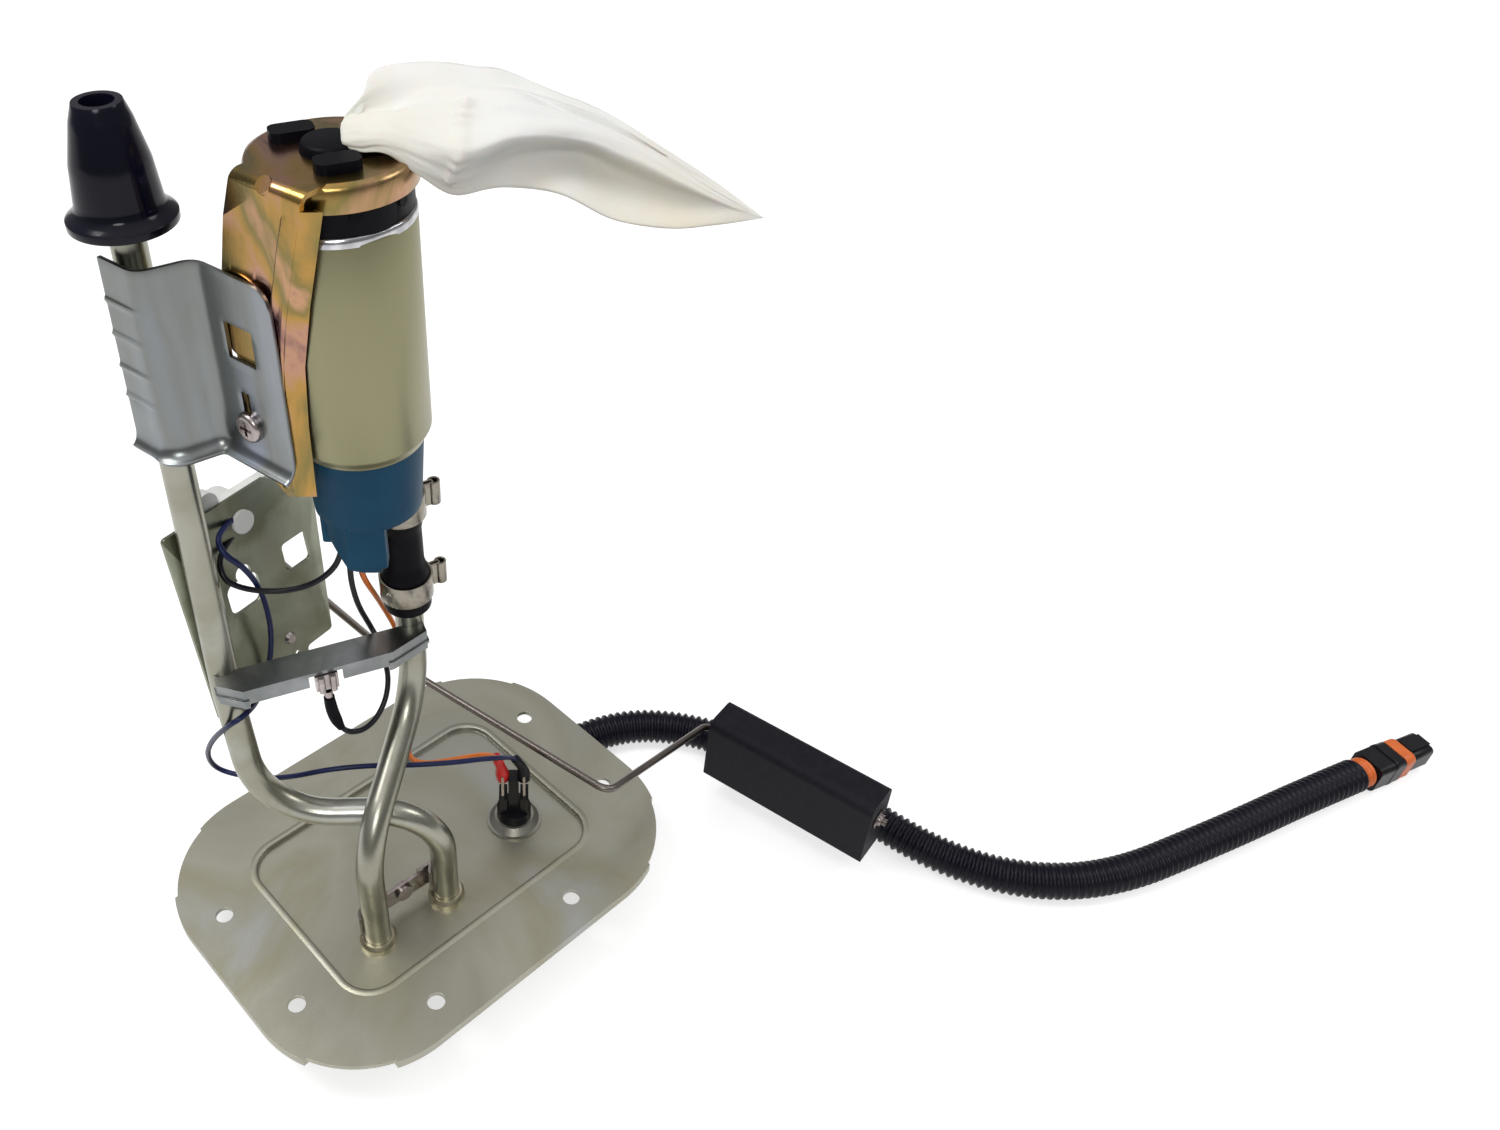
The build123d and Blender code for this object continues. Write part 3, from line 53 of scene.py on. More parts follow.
def placeCamera():
    pitch = math.radians(photoView["pitch"])
    heading = math.radians(photoView["heading"])
    level = math.cos(pitch)
    forward = Vector((level * math.cos(heading), level * math.sin(heading), -math.sin(pitch)))
    right = Vector((math.sin(heading), -math.cos(heading), 0.0))
    up = right.cross(forward)
    lens = bpy.data.cameras.new("studioCamera")
    lens.sensor_fit = "HORIZONTAL"
    lens.sensor_width = photoView["sensor"]
    lens.lens = photoView["focalPixels"] * photoView["sensor"] / photoView["width"]
    lens.shift_x = 0.5 - photoView["principalX"] / photoView["width"]
    lens.clip_start = 0.01
    camera = bpy.data.objects.new("studioCamera", lens)
    turn = Matrix((right, up, -forward)).transposed().to_4x4()
    camera.matrix_world = Matrix.Translation(photoView["place"]) @ turn
    bpy.context.scene.collection.objects.link(camera)
    bpy.context.scene.camera = camera


placeCamera()
print("camera placed")


# Shared helpers

def linkPiece(name, data):
    piece = bpy.data.objects.new(name, data)
    bpy.context.scene.collection.objects.link(piece)
    return piece


def meshPiece(name, points, faces, smooth=True):
    data = bpy.data.meshes.new(name)
    data.from_pydata([tuple(p) for p in points], [], faces)
    data.validate()
    data.update()
    for face in data.polygons:
        face.use_smooth = smooth
    return linkPiece(name, data)


def curveLine(name, points):
    # One open spline with the route's points as its control points
    data = bpy.data.curves.new(name, "CURVE")
    data.dimensions = "3D"
    spline = data.splines.new("NURBS")
    spline.points.add(len(points) - 1)
    for knot, point in zip(spline.points, points):
        knot.co = (point[0] * mm, point[1] * mm, point[2] * mm, 1.0)
    spline.order_u = 3
    spline.use_endpoint_u = True
    data.resolution_u = 10
    return linkPiece(name, data)


def readLine(line):
    # The points of a curve that has no bevel yet
    bpy.context.view_layer.update()
    drawn = line.evaluated_get(bpy.context.evaluated_depsgraph_get())
    mesh = bpy.data.meshes.new_from_object(drawn)
    points = [v.co.copy() for v in mesh.vertices]
    bpy.data.meshes.remove(mesh)
    return points


def evenPoints(points, step):
    # The same line again with its points the same distance apart
    runs = [0.0]
    for a, b in zip(points, points[1:]):
        runs.append(runs[-1] + (b - a).length)
    count = max(2, round(runs[-1] / step))
    spaced, at = [], 0
    for k in range(count + 1):
        want = runs[-1] * k / count
        while at < len(points) - 2 and runs[at + 1] < want:
            at += 1
        share = (want - runs[at]) / max(runs[at + 1] - runs[at], 1e-9)
        spaced.append(points[at].lerp(points[at + 1], share))
    return spaced


def tubeAlong(name, points, radiusAt, sides):
    # A closed tube round a line; radiusAt(k) is the radius at the line's point k
    rows, faces = [], []
    normal = Vector((0.0, 0.0, 1.0))
    last = len(points) - 1
    for k, point in enumerate(points):
        along = (points[min(k + 1, last)] - points[max(k - 1, 0)]).normalized()
        normal = (normal - along * normal.dot(along)).normalized()
        side = along.cross(normal)
        for s in range(sides):
            angle = 2 * math.pi * s / sides
            rows.append(point + (normal * math.cos(angle) + side * math.sin(angle)) * radiusAt(k))
    for k in range(last):
        for s in range(sides):
            t = (s + 1) % sides
            faces.append((k * sides + s, k * sides + t, (k + 1) * sides + t, (k + 1) * sides + s))
    faces.append(tuple(reversed(range(sides))))
    faces.append(tuple(last * sides + s for s in range(sides)))
    return meshPiece(name, rows, faces)


# Finishes

def finishMaterial(name, spec):
    # tones: colours over the patches; grain: fine bump; wave: slow dents of the sheet
    mat = bpy.data.materials.new(name)
    mat.use_nodes = True
    tree = mat.node_tree
    shader = tree.nodes["Principled BSDF"]
    shader.inputs["Metallic"].default_value = spec.get("metal", 0.0)
    shader.inputs["Specular IOR Level"].default_value = spec.get("gloss", 0.5)
    shader.inputs["Subsurface Weight"].default_value = spec.get("glow", 0.0)
    shader.inputs["Subsurface Scale"].default_value = 0.004
    place = tree.nodes.new("ShaderNodeTexCoord")
    stretch = tree.nodes.new("ShaderNodeMapping")
    stretch.inputs["Scale"].default_value = spec.get("stretch", (1.0, 1.0, 1.0))
    tree.links.new(place.outputs["Object"], stretch.inputs["Vector"])
    patches = tree.nodes.new("ShaderNodeTexNoise")
    patches.inputs["Scale"].default_value = spec.get("patch", 40.0)
    patches.inputs["Detail"].default_value = 5.0
    patches.inputs["Distortion"].default_value = spec.get("swirl", 0.4)
    tree.links.new(stretch.outputs["Vector"], patches.inputs["Vector"])
    ramp = tree.nodes.new("ShaderNodeValToRGB")
    tones, first, spread = spec["tones"], 0.32, 0.36
    while len(ramp.color_ramp.elements) < len(tones):
        ramp.color_ramp.elements.new(0.5)
    for k, tone in enumerate(tones):
        ramp.color_ramp.elements[k].position = first + spread * k / max(len(tones) - 1, 1)
        ramp.color_ramp.elements[k].color = (*tone, 1.0)
    tree.links.new(patches.outputs["Fac"], ramp.inputs["Fac"])
    tree.links.new(ramp.outputs["Color"], shader.inputs["Base Color"])
    wear = tree.nodes.new("ShaderNodeMapRange")
    wear.inputs["To Min"].default_value = spec["rough"] - spec.get("roughSpread", 0.05)
    wear.inputs["To Max"].default_value = spec["rough"] + spec.get("roughSpread", 0.05)
    tree.links.new(patches.outputs["Fac"], wear.inputs["Value"])
    tree.links.new(wear.outputs["Result"], shader.inputs["Roughness"])
    grain = tree.nodes.new("ShaderNodeTexNoise")
    grain.inputs["Scale"].default_value = spec.get("grain", 900.0)
    grain.inputs["Detail"].default_value = 3.0
    tree.links.new(stretch.outputs["Vector"], grain.inputs["Vector"])
    bump = tree.nodes.new("ShaderNodeBump")
    bump.inputs["Strength"].default_value = spec.get("bump", 0.2)
    bump.inputs["Distance"].default_value = spec.get("depth", 0.0001)
    tree.links.new(grain.outputs["Fac"], bump.inputs["Height"])
    tree.links.new(bump.outputs["Normal"], shader.inputs["Normal"])
    if "wave" in spec:
        wave = tree.nodes.new("ShaderNodeTexNoise")
        wave.inputs["Scale"].default_value = spec["wave"]
        wave.inputs["Detail"].default_value = 1.0
        tree.links.new(place.outputs["Object"], wave.inputs["Vector"])
        swell = tree.nodes.new("ShaderNodeBump")
        swell.inputs["Strength"].default_value = spec.get("waveBump", 0.3)
        swell.inputs["Distance"].default_value = 0.001
        tree.links.new(wave.outputs["Fac"], swell.inputs["Height"])
        tree.links.new(swell.outputs["Normal"], bump.inputs["Normal"])
    return mat


plateZinc = {"tones": [(0.34, 0.345, 0.325), (0.32, 0.308, 0.245), (0.36, 0.35, 0.29), (0.31, 0.295, 0.22),
                       (0.37, 0.375, 0.36)], "metal": 0.9, "rough": 0.38, "roughSpread": 0.1, "patch": 12.0,
             "swirl": 0.8, "grain": 1600.0, "bump": 0.25, "wave": 30.0, "waveBump": 0.12}
tubeSteel = {"tones": [(0.33, 0.325, 0.275), (0.27, 0.265, 0.21), (0.40, 0.40, 0.375)], "metal": 1.0,
             "rough": 0.29, "patch": 30.0, "grain": 1200.0, "bump": 0.15, "wave": 70.0, "waveBump": 0.1}
brazeMetal = {"tones": [(0.55, 0.51, 0.38), (0.42, 0.39, 0.29)], "metal": 1.0, "rough": 0.3, "patch": 180.0,
              "grain": 1400.0, "bump": 0.3}
brightZinc = {"tones": [(0.25, 0.275, 0.34), (0.19, 0.20, 0.19), (0.30, 0.32, 0.36)], "metal": 1.0,
              "rough": 0.3, "patch": 30.0, "stretch": (1.0, 1.0, 0.25), "grain": 1500.0, "bump": 0.18,
              "wave": 50.0, "waveBump": 0.1}
smallZinc = {"tones": [(0.42, 0.37, 0.36), (0.32, 0.28, 0.27), (0.50, 0.46, 0.45)], "metal": 1.0,
             "rough": 0.26, "patch": 150.0, "grain": 1500.0, "bump": 0.18}
# Rim tones are a lit copy of the can's own metal, about twice as bright: painted highlight along the rolled rim
rimZincPaintedHighlight = {"tones": [(0.52, 0.52, 0.54), (0.40, 0.40, 0.41), (0.62, 0.62, 0.64)], "metal": 1.0,
           "rough": 0.2, "patch": 190.0, "grain": 900.0, "bump": 0.3}
discZinc = {"tones": [(0.27, 0.26, 0.21), (0.33, 0.32, 0.29)], "metal": 0.95, "rough": 0.35, "patch": 120.0,
            "grain": 1500.0, "bump": 0.2}
armWire = {"tones": [(0.15, 0.13, 0.115), (0.19, 0.165, 0.15)], "metal": 1.0, "rough": 0.36, "patch": 90.0,
           "grain": 1500.0, "bump": 0.2}
senderZinc = {"tones": [(0.23, 0.255, 0.20), (0.19, 0.20, 0.14), (0.30, 0.32, 0.25)], "metal": 0.95,
              "rough": 0.36, "patch": 45.0, "grain": 1500.0, "bump": 0.2, "wave": 60.0, "waveBump": 0.1}
darkSteel = {"tones": [(0.27, 0.28, 0.29), (0.19, 0.20, 0.20), (0.34, 0.34, 0.33)], "metal": 1.0,
             "rough": 0.3, "patch": 60.0, "grain": 1500.0, "bump": 0.2}
clampSteel = {"tones": [(0.22, 0.195, 0.16), (0.29, 0.265, 0.22), (0.15, 0.135, 0.12)], "metal": 1.0,
              "rough": 0.28, "patch": 220.0, "grain": 1500.0, "bump": 0.2}
yellowChromate = {"tones": [(0.17, 0.09, 0.10), (0.42, 0.235, 0.155), (0.38, 0.225, 0.065), (0.21, 0.165, 0.06),
                            (0.46, 0.265, 0.155), (0.22, 0.12, 0.12)], "metal": 1.0, "rough": 0.26, "patch": 34.0,
                  "swirl": 1.0, "stretch": (1.0, 1.0, 0.45), "grain": 1500.0, "bump": 0.2, "wave": 60.0,
                  "waveBump": 0.15}
canMetal = {"tones": [(0.23, 0.22, 0.13), (0.30, 0.285, 0.175)], "metal": 1.0, "rough": 0.36, "patch": 20.0,
            "stretch": (1.0, 1.0, 0.2), "grain": 1500.0, "bump": 0.2, "wave": 40.0, "waveBump": 0.06}
blackPlastic = {"tones": [(0.003, 0.003, 0.005), (0.006, 0.006, 0.008)], "rough": 0.36, "patch": 200.0,
                "grain": 1800.0, "bump": 0.25, "gloss": 0.22}
bluePlastic = {"tones": [(0.002, 0.043, 0.092), (0.004, 0.056, 0.112)], "rough": 0.48, "patch": 90.0,
               "grain": 1600.0, "bump": 0.3, "gloss": 0.16}
whitePlastic = {"tones": [(0.62, 0.63, 0.60), (0.70, 0.70, 0.68)], "rough": 0.45, "patch": 120.0,
                "grain": 1500.0, "bump": 0.2}
blackRubber = {"tones": [(0.002, 0.002, 0.004), (0.004, 0.004, 0.006)], "rough": 0.45, "patch": 140.0,
               "grain": 1500.0, "bump": 0.35, "gloss": 0.07}
glossRubber = {"tones": [(0.002, 0.002, 0.007), (0.004, 0.004, 0.011)], "rough": 0.16, "patch": 90.0,
               "grain": 900.0, "bump": 0.12, "gloss": 0.2}
orangeRubber = {"tones": [(0.62, 0.13, 0.018), (0.52, 0.10, 0.014)], "rough": 0.42, "patch": 220.0,
                "grain": 1500.0, "bump": 0.2}
foamBlack = {"tones": [(0.005, 0.005, 0.009), (0.009, 0.009, 0.013)], "rough": 0.6, "patch": 300.0,
             "grain": 2600.0, "bump": 0.6, "depth": 0.0002, "gloss": 0.15}
redPlastic = {"tones": [(0.52, 0.012, 0.012), (0.60, 0.02, 0.016)], "rough": 0.3, "patch": 200.0,
              "grain": 1500.0, "bump": 0.2}
loomPlastic = {"tones": [(0.004, 0.004, 0.009), (0.007, 0.007, 0.012)], "rough": 0.34, "patch": 160.0,
               "grain": 1200.0, "bump": 0.2, "gloss": 0.15}
sockCloth = {"tones": [(0.62, 0.64, 0.645), (0.65, 0.65, 0.63), (0.64, 0.60, 0.50)], "rough": 0.6,
             "patch": 16.0, "grain": 2400.0, "bump": 0.35, "depth": 0.00015, "glow": 0.1, "gloss": 0.25}
cardGreen = {"tones": [(0.06, 0.12, 0.08), (0.10, 0.16, 0.11)], "rough": 0.35, "patch": 300.0,
             "grain": 1500.0, "bump": 0.1}
copperWire = {"tones": [(0.60, 0.27, 0.14), (0.52, 0.22, 0.11)], "metal": 1.0, "rough": 0.35, "patch": 400.0,
              "grain": 2600.0, "bump": 0.6}
bushBronze = {"tones": [(0.50, 0.33, 0.16), (0.44, 0.29, 0.14)], "metal": 1.0, "rough": 0.4, "patch": 300.0,
              "grain": 2000.0, "bump": 0.4}
darkFerrite = {"tones": [(0.05, 0.05, 0.052), (0.07, 0.07, 0.07)], "rough": 0.55, "patch": 200.0,
               "grain": 1600.0, "bump": 0.3}
springSteel = {"tones": [(0.40, 0.38, 0.34), (0.32, 0.30, 0.27)], "metal": 1.0, "rough": 0.28, "patch": 90.0,
               "grain": 1500.0, "bump": 0.15}
blueWire = {"tones": [(0.006, 0.010, 0.050), (0.010, 0.016, 0.075)], "rough": 0.35, "gloss": 0.25, "patch": 100.0,
            "grain": 1500.0, "bump": 0.15}
blackWire = {"tones": [(0.003, 0.003, 0.006), (0.006, 0.006, 0.010)], "rough": 0.35, "gloss": 0.25, "patch": 100.0,
             "grain": 1500.0, "bump": 0.15}
orangeWire = {"tones": [(0.72, 0.17, 0.01), (0.62, 0.13, 0.008)], "rough": 0.35, "patch": 100.0,
              "grain": 1500.0, "bump": 0.15}

wornFinishes = {
    "plateZinc": (plateZinc, ["flange_plate"]),
    "tubeSteel": (tubeSteel, ["supply_tube", "return_tube"]),
    "brazeMetal": (brazeMetal, ["braze_rings"]),
    "smallZinc": (smallZinc, ["tube_tie_strap", "tie_rivet", "bracket_screw", "sender_rivet", "ground_terminal",
                              "terminal_blades", "float_push_nut"]),
    "discZinc": (discZinc, ["gland_disc"]),
    "armWire": (armWire, ["float_arm"]),
    "senderZinc": (senderZinc, ["sender_plate"]),
    "darkSteel": (darkSteel, ["crossbar", "armature"]),
    "clampSteel": (clampSteel, ["lower_hose_clamp", "upper_hose_clamp"]),
    "yellowChromate": (yellowChromate, ["pump_bracket"]),
    "canMetal": (canMetal, ["pump_can"]),
    "blackPlastic": (blackPlastic, ["harness_gland", "connector_body", "connector_latch", "impeller",
                                    "pump_channel_plate", "pump_inlet_housing"]),
    "bluePlastic": (bluePlastic, ["pump_end_cap"]),
    "whitePlastic": (whitePlastic, ["sender_housing", "wiper_hub", "check_poppet"]),
    "blackRubber": (blackRubber, ["fuel_hose", "rubber_isolator"]),
    "glossRubber": (glossRubber, ["vent_cone"]),
    "orangeRubber": (orangeRubber, ["connector_seal", "connector_ring_seal"]),
    "foamBlack": (foamBlack, ["float"]),
    "cardGreen": (cardGreen, ["sender_card"]),
    "copperWire": (copperWire, ["commutator", "connector_pins"]),
    "bushBronze": (bushBronze, ["lower_bearing", "upper_bearing"]),
    "darkFerrite": (darkFerrite, ["magnets", "brushes"]),
    "springSteel": (springSteel, ["rotor_shaft", "brush_springs", "check_spring", "relief_spring",
                                  "relief_ball"]),
}


# Distance in metres under which split corners count as one
weldGap = 0.000004


def dressNode(name, mat):
    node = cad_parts[name]
    if not node.material_slots:
        node.data.materials.append(mat)
    for place in node.material_slots:
        place.material = mat


def softenEdges(name, width=0.00018):
    # Joins the split corners of the imported mesh and rolls its sharp edges a little
    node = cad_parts[name]
    weld = node.modifiers.new("weld", "WELD")
    weld.merge_threshold = weldGap
    bevel = node.modifiers.new("bevel", "BEVEL")
    bevel.width = width
    bevel.segments = 2
    bevel.limit_method = "ANGLE"
    bevel.angle_limit = math.radians(40.0)
    bevel.use_clamp_overlap = True
    bevel.harden_normals = False


softEdges = {
    "flange_plate": 0.0004, "pump_bracket": 0.0003, "crossbar": 0.00025,
    "sender_plate": 0.0002, "pump_end_cap": 0.0004, "pump_can": 0.0003, "fuel_hose": 0.0003,
    "rubber_isolator": 0.0005, "vent_cone": 0.0005, "float": 0.0005, "connector_body": 0.0004,
    "connector_ring_seal": 0.0004, "harness_gland": 0.0003, "sender_housing": 0.0003,
    "lower_hose_clamp": 0.00012, "upper_hose_clamp": 0.00012, "tube_tie_strap": 0.0002,
}

for finishName, (spec, wearers) in wornFinishes.items():
    made = finishMaterial(finishName, spec)
    for wearer in wearers:
        dressNode(wearer, made)
for nodeName, width in softEdges.items():
    softenEdges(nodeName, width)
print("finishes on", len(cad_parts), "nodes")


# Harness loom: corrugated tube from the gland to the plug

loom = {
    "radius": 0.0060,
    "valley": 0.0011,
    "pitch": 0.00235,
    "sides": 28,
    "rowsPerRib": 5,
    "length": 0.3475,
}
loomPoints = [(37.0, -2.0), (44.8, 4.0), (55.7, 8.9), (68.6, 10.6), (82.2, 8.2), (95.5, 2.6), (106.6, -7.2),
              (116.4, -22.4), (123.4, -41.2), (127.5, -64.0), (129.4, -86.0), (132.9, -107.0), (141.9, -126.6),
              (156.0, -142.0), (174.6, -153.0), (197.0, -160.6), (222.0, -168.8), (247.0, -176.2), (271.6, -184.4)]
loomHeight = -16.0


def ribShape(share):
    # Flat-topped rib with a narrow valley on each side of it
    slope = 0.5 - 0.5 * math.cos(2 * math.pi * share)
    return min(1.0, slope * 1.5)


def makeLoom():
    line = curveLine("loomLine", [(x, y, loomHeight) for x, y in loomPoints])
    points = evenPoints(readLine(line), loom["pitch"] / loom["rowsPerRib"])
    rib = loom["rowsPerRib"]
    radius = lambda k: loom["radius"] - loom["valley"] * (1.0 - ribShape((k % rib) / rib))
    tube = tubeAlong("loomTube", points, radius, loom["sides"])
    tube.data.materials.append(finishMaterial("loomPlastic", loomPlastic))
    bpy.data.objects.remove(line)
    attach(tube, "module")
    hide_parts("harness_loom")


makeLoom()
print("loom made")


# Filter sock: welded bag of filter cloth over the pump inlet

sock = {
    "origin": (-2.757, 4.693),
    "right": (0.7486, -0.6630),
    "columns": 110,
    "around": 120,
    "ridgeHeight": 0.9,
    "ridges": ((0.3, 0.09, 0.34), (1.25, 0.08, 0.40), (2.5, 0.16, 0.5)),
    "ridgeDrift": 0.35,
    "ridgeRise": 6.0,
    "weldAt": 0.452,
    "weldSlant": 0.012,
    "weldMiddle": 3.2,
    "weldHalf": 0.012,
    "weldTurns": (2.4, 5.2),
    "weldHeight": 1.9,
    "wrinkle": 0.45,
    "fineWrinkle": 0.4,
}
# Each row runs from the neck to the tip: along the bag, towards its back, height (mm)
sockRows = {
    "top": [(7.2, 6, 236.8), (7.7, 11, 240.6), (12.2, 15, 241.5), (21.2, 17, 241.4), (28.4, 17, 240.6),
            (34.6, 16, 240.2), (46.7, 14, 235.3), (54.8, 12, 232.7), (63.9, 9, 228.7), (78.8, 5, 221.0)],
    "upper": [(4.6, 4, 236.7), (8.3, 8, 239.0), (13.9, 11, 240.2), (22.0, 12, 240.4), (29.8, 12, 239.0),
              (37.3, 12, 237.4), (47.6, 10, 235.4), (56.1, 9, 232.6), (65.2, 6, 228.6), (79.3, 3, 220.4)],
    "crease": [(3.5, 2, 236.3), (7.3, 5, 235.6), (13.1, 6, 235.8), (19.2, 6, 237.4), (27.3, 7, 238.6),
               (37.4, 8, 238.4), (48.6, 8, 233.6), (57.3, 7, 230.1), (66.3, 5, 226.3), (79.6, 2, 220.0)],
    "front": [(2.7, 0, 235.1), (6.0, 1, 236.4), (11.5, 1, 237.2), (18.5, 1, 237.0), (26.9, 1, 236.2),
              (38.5, 3, 236.4), (49.5, 4, 234.2), (58.4, 4, 230.9), (67.7, 3, 226.4), (80.0, 1, 219.5)],
    "seam": [(2.6, -2, 233.8), (5.7, -3, 234.6), (11.8, -4, 235.4), (19.7, -5, 233.4), (28.1, -7, 232.6),
             (38.5, -3, 233.6), (50.2, 1, 231.4), (59.2, 1, 227.8), (68.9, 0, 223.7), (80.9, 0, 218.2)],
    "hollow": [(2.9, -3, 232.4), (6.9, -5, 232.2), (11.9, -6, 232.8), (19.4, -7, 229.6), (26.8, -6, 226.6),
               (37.4, 1, 228.0), (49.7, 6, 226.4), (59.5, 4, 222.4), (70.0, 2, 219.4), (82.3, 0, 216.7)],
    "lower": [(3.0, -2, 232.0), (6.7, -4, 231.3), (12.1, -5, 231.2), (18.6, -6, 227.0), (25.2, -5, 222.5),
              (35.2, -2, 222.7), (46.6, -4, 222.3), (57.3, -5, 217.1), (69.1, -4, 214.6), (79.3, -2, 214.3)],
    "under": [(4.0, 1, 231.9), (8.0, 1, 231.4), (13.0, 3, 231.2), (22.0, 4, 226.0), (28.0, 4, 223.5),
              (37.0, 5, 223.5), (48.0, 5, 222.0), (58.0, 3, 218.0), (69.0, 1, 215.4), (80.0, 0, 214.8)],
    "back": [(7.0, 6, 233.0), (9.0, 11, 233.5), (13.0, 16, 234.0), (22.0, 18, 231.0), (29.0, 18, 229.0),
             (36.0, 17, 229.0), (47.0, 14, 227.0), (56.0, 11, 224.0), (66.0, 7, 220.0), (79.0, 3, 216.5)],
    "rim": [(7.6, 8, 235.5), (9.0, 13, 237.6), (13.0, 18, 238.4), (22.0, 20.5, 237.8), (29.0, 20.5, 236.8),
            (35.5, 19, 236.0), (47.2, 16.5, 232.4), (55.6, 14, 229.6), (65.0, 10.5, 225.6), (79.2, 6, 219.0)],
}
sockTip = (89.6, 0.0, 214.9)
sockNeck = (4.6, 1.0, 234.2)


def smoothStep(values, t, closed=False):
    # Catmull-Rom through the values, round again where they close
    count = len(values)
    k = int(math.floor(t))
    f = t - k
    if closed:
        a, b, c, d = (values[(k + i) % count] for i in (-1, 0, 1, 2))
    else:
        k = min(k, count - 2)
        f = t - k
        a, b, c, d = (values[min(max(k + i, 0), count - 1)] for i in (-1, 0, 1, 2))
    return 0.5 * (2 * b + (c - a) * f + (2 * a - 5 * b + 4 * c - d) * f * f + (3 * b - a - 3 * c + d) * f ** 3)


def sockPlace(local):
    along, back, height = local
    rx, ry = sock["right"]
    ox, oy = sock["origin"]
    return Vector((ox + rx * along - ry * back, oy + ry * along + rx * back, height))


def sockRelief(share, turn):
    # Welded ridges that run out towards the tip, a crinkled weld across the front and soft wrinkles
    relief = 0.0
    for at, width, start in sock["ridges"]:
        past = max(0.0, share - start)
        near = math.exp(-((turn - at - sock["ridgeDrift"] * past) / width) ** 2)
        relief += near * sock["ridgeHeight"] * min(1.0, past * sock["ridgeRise"])
    first, last = sock["weldTurns"]
    if first < turn < last:
        weldAt = sock["weldAt"] - sock["weldSlant"] * (turn - sock["weldMiddle"])
        weld = math.exp(-((share - weldAt) / sock["weldHalf"]) ** 2)
        crinkle = 0.6 + 0.4 * noise.noise(Vector((turn * 9.0, share * 3.0, 5.0)))
        relief += sock["weldHeight"] * weld * crinkle
    folds = noise.noise(Vector((share * 5.0, turn * 2.2, 1.5)))
    fine = noise.noise(Vector((share * 16.0, turn * 4.0, 8.0)))
    relief += sock["wrinkle"] * (folds + sock["fineWrinkle"] * fine)
    # The relief fades out at the neck and the tip
    return relief * math.sin(math.pi * min(1.0, share * 1.03)) ** 0.5


def makeSock():
    rows = [[Vector(p) for p in row] for row in sockRows.values()]
    columns, around = sock["columns"], sock["around"]
    stations = [[Vector(sockNeck)] * len(rows)] + [[row[k] for row in rows] for k in range(len(rows[0]))]
    stations.append([Vector(sockTip)] * len(rows))
    grid = []
    for c in range(columns):
        t = (len(stations) - 1) * c / (columns - 1)
        ring = [smoothStep([station[r] for station in stations], t) for r in range(len(rows))]
        middle = sum(ring, Vector()) / len(ring)
        line = []
        for a in range(around):
            turn = len(rows) * a / around
            point = smoothStep(ring, turn, closed=True)
            away = (point - middle)
            if away.length > 1e-6:
                away = away.normalized()
            line.append(point + away * sockRelief(c / (columns - 1), turn))
        grid.append(line)
    points = [sockPlace(point) * mm for line in grid for point in line]
    faces = []
    for c in range(columns - 1):
        for a in range(around):
            b = (a + 1) % around
            faces.append((c * around + a, c * around + b, (c + 1) * around + b, (c + 1) * around + a))
    bag = meshPiece("sockBag", points, faces)
    weld = bag.modifiers.new("weld", "WELD")
    weld.merge_threshold = 0.00002
    bag.data.materials.append(finishMaterial("sockCloth", sockCloth))
    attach(bag, "module")
    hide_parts("filter_sock")
    return bag


makeSock()
print("sock made")


# Leads between the gland, the pump, the sender and the ground blade

